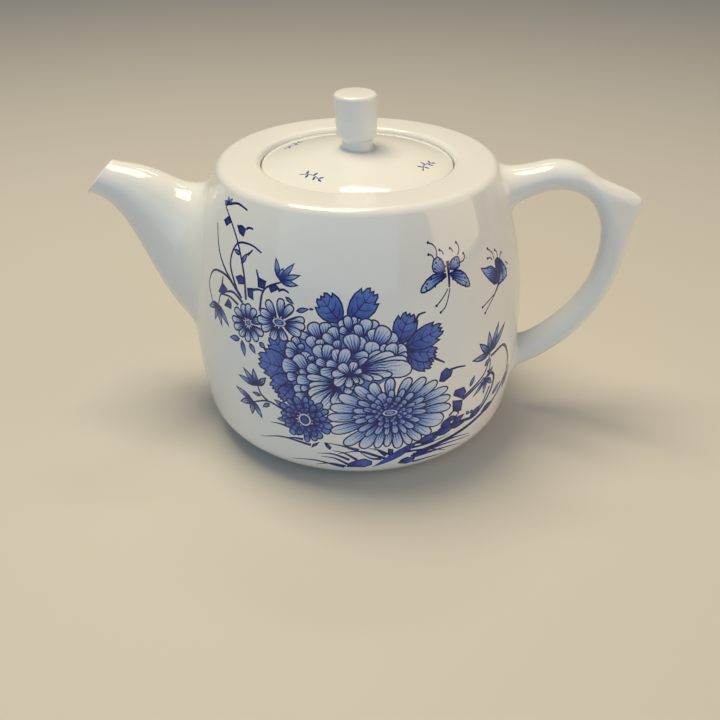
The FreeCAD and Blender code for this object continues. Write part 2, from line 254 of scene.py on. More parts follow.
def dot(paint, centre, size, strength=INK):
    """A round touch of the brush's tip."""
    turns = [cmath.rect(1, math.tau * step / DOT_SIDES) for step in range(DOT_SIDES)]
    touch(paint, [centre + size / 2 * turn for turn in turns], strength)


print("a stroke has", STROKE_STEPS, "steps from place to place, a dot", DOT_SIDES, "sides")

# %% [markdown]
# Each plant has its own few strokes: toothed leaves, petals in rings, a spray of
# pointed petals, square bells on a vine. A function for each keeps one hand
# throughout, as one painter would. A single long list of outlines would be stiff
# and hard to change.

# %% Petals, leaves and buds
hand = random.Random(11)
THIN_LINE = 0.19


def petal(paint, foot, tip, width, deep=0.84, pale=0.1, veins=5, fullness=petal_fullness):
    """A petal with a few veins that fan out from its foot."""
    bend = hand.uniform(-0.08, 0.08) * width
    fan = 2 * math.degrees(math.atan2(width / 2, 0.85 * abs(tip - foot)))
    line = min(LINE, THIN_LINE * width)
    outline = blade(foot, tip, width, fullness, bend)
    washed(paint, outline, foot, tip, deep, pale, fan / veins, line)


LEAF_EDGE = (
    (0.08, 0.14), (0.22, 0.32), (0.42, 0.46), (0.62, 0.5), (0.86, 0.42), (0.79, 0.31), (0.93, 0.27),
    (1.0, 0.16), (0.92, 0.08),
)
LEAF_VEINS = ((0.2, 0.3), (0.42, 0.36), (0.64, 0.3))


def toothed_leaf(paint, foot, tip, width, deep=0.88, pale=0.52):
    """A broad leaf that ends in teeth, with a midrib and three pairs of veins."""
    way = tip - foot
    across = 1j * way / abs(way) * width
    right = [foot + way * share - across * half for share, half in LEAF_EDGE]
    left = [foot + way * share + across * half for share, half in LEAF_EDGE]
    washed(paint, [foot] + right + [tip] + left[::-1], foot, tip, deep, pale)
    stroke(paint, [foot, foot + way * 0.5 + across * 0.03, foot + way * 0.93], LINE, 0.14)
    for share, reach in LEAF_VEINS:
        start = foot + way * share
        for side in (across * reach, -across * reach):
            bend = start + way * 0.07 + side * 0.5
            stroke(paint, [start, bend, start + way * 0.2 + side], 0.3, 0.1)


def leaf(paint, foot, tip, width, deep=0.92, pale=0.7):
    """A pointed dark leaf with a midrib."""
    washed(paint, blade(foot, tip, width, leaf_fullness), foot, tip, deep, pale, veins=14)
    stroke(paint, [foot, foot + (tip - foot) * 0.9], LINE * 0.8, 0.1)


def bud(paint, foot, tip, width):
    """A small bud or leaflet with a pale heart."""
    outline = blade(foot, tip, width, leaf_fullness)
    washed(paint, outline, foot, tip, deep=0.9, pale=0.36, line=LINE * 0.8)


def spray(paint, foot, tips, width):
    """Pointed petals that open from one foot, as on a lily."""
    for tip in tips:
        petal(paint, foot, tip, width, deep=0.95, pale=0.22, veins=3, fullness=leaf_fullness)


print("petals, leaves and buds ready")

# %% Eyes and rings of petals
EYE_SIDES = 18


def eye(paint, centre, wide, high, heart=0.5):
    """The ringed middle of a flower, seen a little from the side."""
    for size, strength in ((1.0, INK), (0.88, 0.12), (0.66, INK), (0.46, heart)):
        ring = []
        for step in range(EYE_SIDES):
            way = cmath.rect(size / 2, math.tau * step / EYE_SIDES)
            ring.append(centre + complex(way.real * wide, way.imag * high))
        touch(paint, ring, strength)


def petal_ring(paint, centre, count, wide, high, width, start, pale, veins=4):
    """A ring of petals round a flower's middle, each a little different."""
    shift = hand.random()
    for index in range(count):
        angle = math.tau * (index + shift) / count + hand.uniform(-0.09, 0.09)
        reach = complex(wide * math.cos(angle), high * math.sin(angle)) * hand.uniform(0.88, 1.08)
        own_width = width * hand.uniform(0.85, 1.15)
        petal(paint, centre + reach * start, centre + reach, own_width, INK, pale, veins)


print("flowers ready: an eye has", EYE_SIDES, "sides")

# %% [markdown]
# The front is laid out as on the pot: grasses and stems first, then leaves, then
# the peony with its round petals, the dark aster and the large chrysanthemum
# over it, two daisies with a vine on the left, and butterflies on the right.
# What is laid later covers what is under it.

# %% Grasses and stems
wall_paint = []
GRASS = (
    (-9 + 13.5j, -24.5 + 11.5j, 1.7), (-11 + 15j, -16.5 + 14j, 0.3), (-14 + 18j, -20 + 18j, 0.4),
    (-0.5 + 6.5j, -15.5 + 7j, 1.5), (7j, -8.5 + 6.5j, 1), (1 + 9.5j, -7.5 + 11j, 1),
    (1 + 7.5j, -6.5 + 10j, 1), (3 + 9.5j, -3.5 + 12.5j, 0.8), (9.5 + 10j, -2 + 11.5j, 1.8),
    (11 + 11j, 6 + 13.5j, 0.5), (10.5 + 9.5j, 0.5 + 13.5j, 0.3), (10.5 + 10.5j, 7.5 + 13.5j, 0),
    (9.5 + 9.5j, 3.5 + 12.5j, -1), (3.5 + 13j, -5 + 15j, 0.3), (15.5 + 11j, 28.5 + 7.5j, 1),
    (17.5 + 9j, 25 + 9j, 0.3), (18.5 + 6.5j, 29 + 6j, 0.4), (23.5 + 10.5j, 37 + 9.5j, 1),
    (16 + 12j, 29 + 13j, -0.3), (18 + 9.5j, 37.5 + 8.5j, 1), (18 + 8.5j, 34.5 + 7.5j, 0.8),
)
STEMS = (
    (-26.5 + 50j, -28 + 56j, -31.5 + 62j, -36 + 66j, -40.5 + 68.5j),
    (-28 + 50j, -34 + 53.5j, -40.5 + 53j, -42.5 + 49j, -40 + 45j),
    (-28.5 + 50.5j, -38 + 57j, -43 + 64j),
    (-29.5 + 51j, -33.5 + 57j, -32 + 62j, -27 + 63j, -23 + 62j),
    (-27.5 + 49j, -31.5 + 50.5j, -36 + 48.5j, -37 + 45.5j), (-29 + 48j, -32.5 + 49j, -36 + 48.5j),
    (-22 + 48.5j, -21 + 54j, -15.5 + 57j), (-24.5 + 53j, -23 + 53.5j, -21 + 53.5j),
    (-39 + 69.5j, -35 + 70.5j, -30.5 + 70j), (-29.5 + 66j, -28.5 + 66.5j, -27 + 66.5j),
    (-17 + 54.5j, -15.5 + 55j, -14 + 54.5j), (-15 + 23j, -20 + 24.5j, -25 + 22.5j),
    (-20 + 24.5j, -22 + 26j, -23 + 28.5j), (31 + 23.5j, 37 + 26.5j, 39.5 + 29j, 40.5 + 33j),
    (26.5 + 33.5j, 29 + 33.5j, 31.5 + 33j), (31.5 + 23j, 37 + 25.5j, 40.5 + 27j, 41 + 31j),
    (27.5 + 19.5j, 29 + 20.5j, 30.5 + 19.5j, 30 + 18.5j, 28.5 + 18.5j),
    (42 + 22.5j, 39 + 17.5j, 33.5 + 17.5j), (17 + 47j, 18 + 49.5j, 20 + 50j),
    (22 + 38j, 23.5 + 37j, 25 + 36j), (-23 + 56j, -23.5 + 57j, -24 + 58j), (-36 + 51j, -36 + 53j),
    (-27.5 + 60.5j, -26 + 62j), (-8.5 + 51.5j, -7.5 + 51.5j),
)
REEDS = (
    (31.5 + 16j, 37.5 + 15.5j, 42.5 + 20j, 43.5 + 25j, 40 + 28j),
    (19 + 10j, 28 + 11.5j, 37 + 13.5j, 46 + 16.5j, 53 + 23.5j),
    (25 + 11j, 36 + 13j, 46 + 16.5j, 52 + 23j, 48 + 32j, 41 + 32j),
)
GRASS_BRUSH = (0.9, 0.14, 0.9)
STEM_BRUSH = (0.7, 0.4, 0.93)
REED_BRUSH = (1.1, 0.75, 0.93)
for foot, tip, rise in GRASS:
    stroke(wall_paint, [foot, (foot + tip) / 2 + rise * 1j, tip], *GRASS_BRUSH)
for places in STEMS:
    stroke(wall_paint, places, *STEM_BRUSH)
for places in REEDS:
    stroke(wall_paint, places, *REED_BRUSH)
print(len(wall_paint), "strokes of grass and stem")

# %% Sprays, bells and buds
SPRAYS = (
    (-23 + 28j, (-29.5 + 29j, -27.5 + 32j, -24 + 33j, -20 + 31.5j), 1.9),
    (-25 + 23j, (-31 + 25j, -30 + 20.5j, -26 + 18j, -22.5 + 18j), 2.0),
    (-17 + 57j, (-18.5 + 62j, -16 + 60j, -13 + 61.5j, -11 + 59j, -11.5 + 56.5j), 1.7),
    (-37.5 + 45.5j, (-42 + 43j, -38.5 + 40.5j, -35 + 40j, -32 + 41j), 1.9),
    (40.5 + 33j, (33.5 + 33.5j, 36 + 37.5j, 40 + 39.5j, 44.5 + 40.5j, 48 + 39j), 2.1),
    (40 + 26j, (35 + 22j, 39.5 + 21j, 43 + 23j, 37 + 25.5j, 42.5 + 28.5j), 1.6),
    (-39.5 + 69j, (-42 + 69.5j, -40.5 + 71j, -38 + 71j), 1.3),
)
BELLS = (
    (-40 + 65.5j, -38 + 67j, -36 + 66j, -38 + 64.5j),
    (-33.5 + 66j, -31.5 + 66.5j, -29.5 + 66j, -30 + 64j, -32 + 64.5j),
    (-31 + 54.5j, -29 + 55.5j, -27.5 + 55j, -27.5 + 53.5j, -29.5 + 53j),
    (-26.5 + 53j, -24.5 + 53.5j, -24 + 50.5j, -26 + 51j),
    (-23.5 + 56.5j, -20.5 + 56j, -21 + 54j, -23 + 54j),
    (-20 + 55j, -18 + 56j, -16.5 + 55j, -19 + 53.5j),
    (-37.5 + 48.5j, -36 + 51.5j, -33.5 + 50.5j, -35 + 48.5j),
    (-34.5 + 46j, -33 + 48.5j, -31.5 + 47.5j, -31.5 + 46j),
    (28 + 25.5j, 28.5 + 27j, 31.5 + 27j, 32.5 + 25j, 31 + 23.5j),
    (28.5 + 20.5j, 28 + 24j, 31.5 + 23j, 31.5 + 19.5j),
    (23.5 + 31j, 24 + 33.5j, 25.5 + 34.5j, 27.5 + 33j, 27 + 31.5j, 25 + 30.5j),
)
BUDS = (
    (-30 + 60j, -33 + 60.5j, 1.3), (-29.5 + 58j, -27.5 + 61j, 1.5), (-28 + 39.5j, -32 + 38.5j, 1.8),
    (-27.5 + 39.5j, -26.5 + 35j, 1.8), (-25 + 39.5j, -23 + 37j, 1.7),
    (-22 + 40.5j, -20 + 39.5j, 1.7), (-12 + 50.5j, -8.5 + 51.5j, 1.4),
    (-15 + 53.5j, -12.5 + 52j, 1.2), (-22 + 25.5j, -25 + 25.5j, 1.3), (-19.5 + 24j, -22 + 22j, 1.4),
    (33.5 + 26j, 35 + 29j, 1.5), (38.5 + 30j, 41 + 31.5j, 1.7), (44 + 18.5j, 48.5 + 21j, 1.9),
    (33.5 + 18.5j, 34.5 + 17j, 1.2), (35 + 18j, 36 + 17j, 1.2),
)
for foot, tips, width in SPRAYS:
    spray(wall_paint, foot, tips, width)
for corners in BELLS:
    washed(wall_paint, list(corners), corners[0], corners[2], deep=0.92, pale=0.74, veins=12)
for foot, tip, width in BUDS:
    bud(wall_paint, foot, tip, width)
print(len(wall_paint), "touches so far")

# %% Leaves and the branch under the flowers
TOOTHED_LEAVES = (
    (-0.4 + 48.6j, -6 + 55j, 6.8), (0.8 + 48.8j, 7.4 + 56.4j, 6.8), (12.8 + 42.6j, 16 + 50.6j, 6.4),
    (14.6 + 39.6j, 21.8 + 36.2j, 5.2), (14.6 + 41j, 23 + 39.2j, 5.4),
    (14.2 + 42j, 24.6 + 45.4j, 6.2), (-12.8 + 37.6j, -18.4 + 43.4j, 6.6),
    (-11.6 + 35.6j, -22.4 + 36j, 8.2), (-11.6 + 33.8j, -18.6 + 28.6j, 6.2),
    (-12.4 + 31.6j, -16.4 + 26j, 4.6),
)
DARK_LEAVES = (
    (20 + 12.5j, 26 + 15.5j, 3.4), (23.5 + 14.5j, 31 + 16j, 3.4), (25.5 + 15.5j, 28.5 + 19j, 3.2),
    (26.5 + 18.5j, 30.5 + 18j, 2.0), (28 + 15.5j, 33.5 + 15j, 2.2), (28.5 + 16j, 33 + 18j, 2.4),
    (35 + 15.5j, 39.5 + 18j, 2.4), (40 + 15j, 46 + 16j, 2.6), (50.5 + 17j, 54.5 + 23j, 2.8),
)
for foot, tip, width in TOOTHED_LEAVES:
    toothed_leaf(wall_paint, foot, tip, width)
for foot, tip, width in DARK_LEAVES:
    leaf(wall_paint, foot, tip, width)
BRANCH_FOOT = 19.5 + 14j
BRANCH_TIP = 7 + 6.5j
BRANCH_WIDTH = 2.6
DARK_PATCHES = (
    (6.5j, 1 + 8.5j, 3 + 9.5j, 5 + 10j, 7 + 9j, 7 + 7.5j, 5 + 6.5j),
    (14 + 7j, 15 + 8.5j, 16.5 + 9j, 19 + 8j, 18.5 + 6.5j, 16.5 + 6j),
    (18.5 + 13j, 20.5 + 15j, 23 + 15.5j, 24 + 14j, 21.5 + 12.5j),
    (11 + 10.5j, 11 + 13j, 12.5 + 12.5j, 12.5 + 10.5j),
    (-9 + 12.5j, -8.5 + 14j, -6.5 + 15j, -7.5 + 13.5j),
    (-5.5 + 15j, -4.5 + 15j, -3.5 + 13.5j, -4 + 12.5j, -5 + 13.5j),
)
branch = blade(BRANCH_FOOT, BRANCH_TIP, BRANCH_WIDTH, leaf_fullness)
touch(wall_paint, branch, deep=0.85, pale=0.68, foot=BRANCH_FOOT, tip=BRANCH_TIP)
for corners in DARK_PATCHES:
    washed(wall_paint, list(corners), corners[0], corners[3], deep=0.95, pale=0.6, veins=15)
print(len(wall_paint), "touches so far")

# %% The peony
PEONY_EDGE = (
    -1.4 + 48.6j, 0.4 + 50j, 3 + 49.8j, 5.8 + 49j, 8 + 48.4j, 10 + 47j, 12 + 45j, 14.2 + 42j,
    15 + 37j, 10 + 34j, 4 + 30j, -2.4 + 27j, -8 + 27j, -11.6 + 28.4j, -12.2 + 30.6j, -13.6 + 33.2j,
    -15 + 36j, -14.2 + 39.8j, -13.4 + 42j, -10.6 + 44.6j, -7.8 + 47.6j, -4.6 + 48.2j,
)
ROUND_PETALS = (
    (1.3 + 47.6j, -1.6 + 49.2j, 2.2), (1.8 + 47.6j, 4.2 + 49.9j, 2.0),
    (1.4 + 47.4j, 2.8 + 50.6j, 2.0), (1.3 + 47.4j, 0.6 + 50.8j, 2.2),
    (-6.4 + 45.2j, -8.0 + 48.5j, 3.2), (-4.3 + 45.8j, -4.7 + 48.9j, 3.0),
    (5.9 + 46.8j, 8.0 + 49.3j, 2.5), (4.5 + 46.2j, 5.9 + 50.0j, 3.1),
    (-1.8 + 45.0j, -3.2 + 47.9j, 2.9), (0.8 + 46.4j, -1.2 + 47.7j, 2.0),
    (3.9 + 45.6j, 2.8 + 48.8j, 2.3), (9.8 + 43.4j, 12.6 + 45.9j, 3.0),
    (7.1 + 44.4j, 6.6 + 47.6j, 2.9), (7.9 + 44.2j, 10.0 + 48.0j, 3.9),
    (-8.0 + 44.6j, -11.2 + 45.2j, 2.1), (-10.8 + 42.0j, -12.7 + 44.2j, 2.2),
    (-2.4 + 43.8j, -5.2 + 46.0j, 2.4), (-6.8 + 42.2j, -8.8 + 45.0j, 2.9),
    (-5.4 + 42.4j, -5.8 + 44.8j, 2.4), (-1.2 + 42.6j, -2.0 + 44.8j, 2.2),
    (2.5 + 42.6j, 4.8 + 45.5j, 2.9), (2.2 + 42.5j, 1.1 + 46.4j, 3.8),
    (10.6 + 41.2j, 8.7 + 43.5j, 2.3), (11.6 + 40.4j, 15.0 + 42.4j, 3.4),
    (11.8 + 40.2j, 11.2 + 43.8j, 3.2), (6.1 + 40.4j, 6.9 + 44.6j, 3.6),
    (12.4 + 39.6j, 15.4 + 40.4j, 2.2), (-11.6 + 40.4j, -14.2 + 42.6j, 2.6),
    (-12.0 + 40.0j, -14.8 + 39.8j, 2.7), (-10.0 + 41.2j, -11.0 + 42.8j, 1.9),
    (-4.6 + 39.8j, -7.2 + 42.8j, 3.4), (-4.2 + 40.0j, -3.5 + 43.6j, 3.1),
    (-9.8 + 38.2j, -8.6 + 41.0j, 2.7), (-9.4 + 36.6j, -12.0 + 39.8j, 3.5),
    (-7.6 + 38.6j, -8.4 + 40.1j, 1.9), (-12.0 + 36.2j, -15.7 + 36.2j, 3.9),
    (-11.6 + 33.8j, -14.4 + 33.0j, 2.6), (4.6 + 38.4j, 9.2 + 41.6j, 3.4),
    (2.2 + 40.4j, 6.0 + 41.1j, 2.4), (-1.0 + 38.2j, -2.2 + 42.6j, 2.9),
    (-0.8 + 38.2j, 0.9 + 42.8j, 2.9), (3.0 + 38.4j, 6.0 + 39.9j, 2.2),
    (-4.2 + 38.0j, -7.0 + 39.0j, 2.3), (-9.0 + 35.6j, -11.2 + 35.2j, 2.1),
    (-6.2 + 35.9j, -9.2 + 37.2j, 3.0), (-1.6 + 37.8j, -4.5 + 38.7j, 2.6),
    (-8.2 + 33.0j, -11.9 + 32.6j, 3.4), (-9.2 + 30.8j, -12.8 + 30.2j, 2.6),
    (-9.2 + 29.0j, -12.4 + 27.8j, 2.4), (-8.6 + 31.4j, -10.8 + 30.4j, 1.9),
    (-2.6 + 36.6j, -5.8 + 35.2j, 3.6),
)
LONG_PETALS = (
    (4.0 + 38.2j, 12.2 + 40.6j, 3.2), (3.4 + 37.6j, 15.4 + 38.8j, 3.6),
    (3.4 + 37.2j, 16.5 + 36.2j, 4.4), (2.4 + 36.8j, 11.6 + 35.4j, 2.2),
    (2.2 + 36.6j, 9.4 + 34.4j, 1.8), (2.0 + 36.4j, 7.0 + 34.2j, 1.7),
    (1.8 + 36.0j, 4.6 + 33.2j, 1.7), (-1.4 + 33.6j, -9.4 + 34.3j, 2.2),
    (-1.4 + 33.2j, -8.8 + 31.7j, 2.8), (-1.4 + 32.8j, -9.0 + 29.1j, 3.0),
    (-1.2 + 32.6j, -8.4 + 26.3j, 3.2), (-1.0 + 32.4j, -5.4 + 25.5j, 3.0),
    (-0.8 + 32.2j, -2.4 + 26.7j, 2.8), (0.6 + 33.4j, 1.2 + 30.2j, 2.2),
    (1.2 + 34.4j, 2.8 + 31.6j, 1.8),
)
HEART_PETALS = (
    (1.6 + 36.4j, -2.4 + 32.5j, 3.0), (1.4 + 36.2j, 1.0 + 32.0j, 2.4),
    (1.6 + 36.2j, -3.2 + 35.6j, 2.6), (1.6 + 35.6j, 2.6 + 39.5j, 2.6),
    (1.4 + 35.6j, -1.2 + 38.7j, 3.0), (1.4 + 35.8j, 4.4 + 37.2j, 2.0),
    (1.4 + 36.0j, 3.4 + 33.4j, 1.8),
)
PETAL_SPREAD = 1.15
PETAL_DEPTH = 1.4
touch(wall_paint, list(PEONY_EDGE), 0.5)
for foot, tip, width in ROUND_PETALS:
    petal(wall_paint, tip + (foot - tip) * PETAL_DEPTH, tip, width * PETAL_SPREAD)
for foot, tip, width in LONG_PETALS:
    petal(wall_paint, foot, tip, width * PETAL_SPREAD, deep=0.5, pale=0.06)
for foot, tip, width in HEART_PETALS:
    petal(wall_paint, foot, tip, width, deep=0.3, pale=0.1, veins=4)
print(len(wall_paint), "touches so far")

# %% The aster
ASTER = -10.1 + 21.5j
for tip in (-18.2 + 25.7j, -17.9 + 19.7j):
    bud(wall_paint, ASTER + (tip - ASTER) * 0.6, tip, 1.7)
ASTER_RINGS = ((18, 7.2, 6.8, 2.2, 0.4), (15, 5.6, 5.4, 1.9, 0.5), (12, 4.0, 4.0, 1.6, 0.6))
for count, wide, high, width, pale in ASTER_RINGS:
    petal_ring(wall_paint, ASTER, count, wide, high, width, 0.36, pale)
eye(wall_paint, ASTER, 3.7, 4.3, 0.72)
print(len(wall_paint), "touches so far")

# %% The chrysanthemum
CHRYSANTHEMUM = 11.1 + 24.5j
OUTER_TIPS = (
    (27.4 + 25.6j, 2.8), (26.4 + 28.6j, 2.6), (23.2 + 31.5j, 2.8), (19.9 + 33.3j, 2.8),
    (16 + 34.1j, 2.6), (11 + 34.7j, 2.6), (6.4 + 33.7j, 2.8), (2.4 + 32.7j, 2.8), (-1.6 + 30j, 3.0),
    (-3.7 + 26.4j, 3.0), (-4.5 + 23.2j, 2.8), (-3.7 + 18.8j, 3.0), (-0.4 + 14.6j, 3.0),
    (4 + 13.5j, 3.2), (8 + 13.3j, 2.4), (10.6 + 13.5j, 2.2), (13.8 + 12.5j, 2.8), (17 + 13.2j, 2.4),
    (19.8 + 13.9j, 2.6), (22.6 + 15.3j, 2.8), (25.9 + 18.8j, 4.4), (27.8 + 22.4j, 2.8),
)
SECOND_TIPS = (
    (8.6 + 30.7j, 2.8), (11.3 + 31.4j, 2.0), (14.4 + 31.2j, 2.0), (5.2 + 30.6j, 2.0),
    (3 + 28.4j, 2.2), (1.8 + 25.8j, 2.2), (1.6 + 23.6j, 1.8), (2.2 + 22j, 2.2), (3.2 + 19.2j, 2.2),
    (5 + 17.4j, 1.8), (7.6 + 17.9j, 2.2), (10.4 + 17.4j, 1.8), (13 + 17.6j, 2.2),
    (15.6 + 17.2j, 1.8), (17.6 + 18.6j, 2.2), (19.2 + 20.6j, 2.0), (20.8 + 23.2j, 2.0),
    (20.6 + 25.4j, 1.8), (20 + 27.4j, 2.2), (17 + 29.6j, 2.2),
)
INNER_RINGS = ((15, 6.6, 4.7, 1.9), (12, 4.6, 3.3, 1.5), (10, 3.2, 2.2, 1.1))
TIP_START = 0.3
OUTER_SPREAD = 1.12
HEART_HALF = 8.6
HEART_HIGH = 11.6
for tip, width in OUTER_TIPS:
    foot = CHRYSANTHEMUM + (tip - CHRYSANTHEMUM) * TIP_START
    petal(wall_paint, foot, tip, width * OUTER_SPREAD, deep=INK, pale=0.08, veins=4)
heart_ends = CHRYSANTHEMUM - HEART_HALF, CHRYSANTHEMUM + HEART_HALF
touch(wall_paint, blade(*heart_ends, HEART_HIGH, leaf_fullness), 0.75)
for tip, width in SECOND_TIPS:
    foot = CHRYSANTHEMUM + (tip - CHRYSANTHEMUM) * TIP_START
    petal(wall_paint, foot, tip, width, deep=INK, pale=0.2, veins=3)
for count, wide, high, width in INNER_RINGS:
    petal_ring(wall_paint, CHRYSANTHEMUM, count, wide, high, width, 0.4, 0.3, 3)
eye(wall_paint, CHRYSANTHEMUM, 4.2, 2.0, 0.4)
print(len(wall_paint), "touches so far")

# %% The daisies
DAISY_START = 0.16
LEFT_DAISY = -25.4 + 44.5j
LEFT_TIPS = (
    -31.2 + 43.9j, -30.4 + 46.8j, -27.6 + 48.9j, -25.6 + 49.5j, -23.2 + 48.7j, -21.2 + 46.4j,
    -20.5 + 42.7j, -22.4 + 40.4j, -25.6 + 39.4j, -28.2 + 40.2j, -30.4 + 41.8j,
)
RIGHT_DAISY = -16.3 + 47j
RIGHT_TIPS = (
    -20.1 + 51.8j, -16 + 53j, -12.8 + 51.8j, -9.5 + 48.8j, -9.3 + 47j, -10.3 + 44.8j, -14.4 + 42.5j,
    -18.1 + 42j, -21.4 + 44.1j, -22.8 + 46.4j, -22 + 48.7j,
)
for centre, tips, width in ((LEFT_DAISY, LEFT_TIPS, 2.3), (RIGHT_DAISY, RIGHT_TIPS, 2.5)):
    for tip in tips:
        foot = centre + (tip - centre) * DAISY_START
        petal(wall_paint, foot, tip, width, deep=0.95, pale=0.07, veins=4)
eye(wall_paint, LEFT_DAISY, 2.6, 1.7)
eye(wall_paint, RIGHT_DAISY, 4.1, 2.2)
print(len(wall_paint), "touches so far")

# %% [markdown]
# The butterflies are drawn wing by wing. A wing is an outline of its own, with
# dark veins and dots; the feelers and tails are thin strokes that end in a dot.
# One flies with its wings spread, the other is seen from the side.

# %% Wings and feelers
SPREAD_WINGS = (
    (
        (-0.6, 0.7), (-0.7, 2.5), (-1.4, 3.9), (-2.6, 4.7), (-4.0, 4.1), (-4.6, 2.5), (-4.3, 1.3),
        (-2.8, 0.6),
    ),
    (
        (-0.5, 0.4), (-2.5, 1.1), (-4.5, 0.9), (-6.2, 0.1), (-7.7, -1.3), (-8.2, -2.3),
        (-8.0, -3.0), (-7.0, -3.1), (-5.0, -2.5), (-2.5, -1.3), (-0.5, -0.5),
    ),
    (
        (0.6, 0.9), (0.8, 2.7), (1.6, 3.3), (3.0, 3.7), (3.9, 3.4), (4.2, 2.4), (4.0, 1.1),
        (2.6, 0.5),
    ),
    (
        (0.6, 0.3), (2.5, 0.7), (4.0, 0.3), (5.5, -0.9), (6.4, -2.5), (6.8, -3.9), (6.4, -4.5),
        (5.2, -4.3), (3.2, -3.1), (1.6, -1.7), (0.6, -0.5),
    ),
)
SPREAD_FEELERS = (
    ((-2.8, 4.6), (-2.8, 6.3), (-3.6, 7.4), (-4.9, 8.0)), ((-3.6, 4.1), (-4.2, 5.1), (-5.1, 5.4)),
    ((-0.7, 4.7), (-1.1, 5.5), (-1.8, 5.9)), ((2.2, 4.7), (2.0, 5.3), (1.5, 5.7)),
    ((3.6, 3.7), (4.3, 4.7), (4.2, 5.9), (3.7, 6.6)),
    ((4.0, 1.9), (5.2, 2.1), (5.9, 2.9), (5.6, 3.7)),
    ((0.2, -3.2), (-0.6, -5.5), (-1.6, -7.4), (-2.9, -8.4)),
    ((-0.4, -3.2), (-2.0, -5.0), (-4.0, -6.6)),
)
SPREAD_BODY = ((0.2, 3.1), (0.2, -0.5), (0.0, -3.0))
FOLDED_WINGS = (
    (
        (-0.6, 3.2), (1.0, 3.6), (3.2, 2.0), (5.6, -1.2), (5.2, -2.8), (3.0, -3.2), (0.2, -3.4),
        (-0.8, -0.6),
    ),
    ((0.4, 2.8), (2.2, 1.8), (3.4, -0.6), (2.4, -3.2), (-0.4, -3.2), (-0.6, 0.4)),
    (
        (-7.0, 3.3), (-5.0, 2.8), (-2.5, 2.6), (-0.6, 1.2), (0.2, -2.8), (-2.0, -2.6), (-4.0, -0.8),
        (-6.0, 1.6),
    ),
)
FOLDED_FEELERS = (
    ((-0.8, 3.6), (-1.2, 5.2), (-3.0, 6.8)), ((-1.6, 3.6), (-2.4, 4.4), (-3.6, 4.6)),
    ((1.2, 3.6), (1.0, 4.8), (0.2, 5.5)), ((1.8, 2.4), (2.6, 3.4), (3.4, 3.9)),
    ((3.4, 0.8), (4.4, 0.0), (4.6, -0.6)), ((4.8, 1.0), (5.6, 0.6), (6.1, 0.0)),
    ((-1.6, -4.6), (-4.4, -5.4), (-7.5, -6.4)), ((-2.0, -4.8), (-4.6, -6.6), (-6.6, -8.2)),
)
FOLDED_BODY = ((1.6, 1.6), (0.2, -2.6), (-2.0, -4.7))
SPREAD = (SPREAD_WINGS, SPREAD_FEELERS, SPREAD_BODY)
FOLDED = (FOLDED_WINGS, FOLDED_FEELERS, FOLDED_BODY)
print(len(SPREAD_WINGS), "spread wings and", len(FOLDED_WINGS), "folded ones")


# %% Butterflies
def butterfly(paint, centre, kind, turn=0.0):
    """Veined and dotted wings, a dark body, curled feelers and two long tails."""
    wings, feelers, body = kind
    face = cmath.rect(1, math.radians(turn))

    def at(place):
        return centre + face * complex(*place)

    for wing in wings:
        outline = [at(place) for place in wing]
        far = max(outline, key=lambda place: abs(place - centre))
        washed(paint, outline, centre, far, deep=0.86, pale=0.26, veins=7)
        for edge in outline[1:-1]:
            dot(paint, centre + (edge - centre) * 0.8, 0.55)
    for feeler in feelers:
        line = [at(place) for place in feeler]
        stroke(paint, line, 0.3, 0.34)
        dot(paint, line[-1], 0.72)
    stroke(paint, [at(place) for place in body], 0.95, 0.5)


butterfly(wall_paint, 27 + 57.5j, SPREAD)
butterfly(wall_paint, 45 + 53j, FOLDED)
print(len(wall_paint), "touches on the front")

# %% [markdown]
# The back is quieter: one daisy spray in grass and two butterflies, in the same
# hand as the front.

# %% The back of the pot
HALF_GIRTH = math.pi * BELLY / MM
BACK = HALF_GIRTH - 24
BACK_STEMS = ((8j, -6 + 22j, 1 + 40j), (2 + 8j, 6 + 20j, 3 + 32j))
BACK_DAISIES = ((1 + 42j, 5.8), (3 + 32j, 5.0))
BACK_LEAVES = (
    (-4 + 18j, -12 + 23j, 6.0), (-3 + 24j, -11 + 31j, 5.4), (5 + 16j, 13 + 21j, 6.0),
    (5 + 12j, 14 + 13j, 4.6),
)
BACK_GRASS = (-20, -14, -8, 9, 15, 21)
for places in BACK_STEMS:
    stroke(wall_paint, [place - BACK for place in places], 0.7, 0.4)
for bend in BACK_GRASS:
    foot = complex(-BACK + bend * 0.2, 7)
    top = foot + complex(bend * 0.5, 4.4)
    stroke(wall_paint, [foot, top, foot + complex(bend, 4 - abs(bend) * 0.12)], 0.7, 0.1, 0.86)
for place, size in BACK_DAISIES:
    petal_ring(wall_paint, place - BACK, 11, size, size * 0.94, 2.4, DAISY_START, 0.07)
    eye(wall_paint, place - BACK, 3.0, 2.0)
for foot, tip, width in BACK_LEAVES:
    toothed_leaf(wall_paint, foot - BACK, tip - BACK, width)
butterfly(wall_paint, BACK + 55j, SPREAD, 18)
butterfly(wall_paint, BACK - 20 + 49j, FOLDED, 6)
print(len(wall_paint), "touches on the wall")

# %% [markdown]
# The touches become part of the wall's own mesh. A picture on the surface would
# be quicker, but it blurs close up. Here one triangulation takes in the edges of
# all touches, so every brush line is crisp at any distance, and each triangle
# belongs to the touch that lies on top. Two attributes on the corners tell the
# glaze where in the touch they are and how strong its cobalt is.

# %% A painted patch of wall
Skin = namedtuple("Skin", "half low high place")
PATCH_EDGE = 0.05


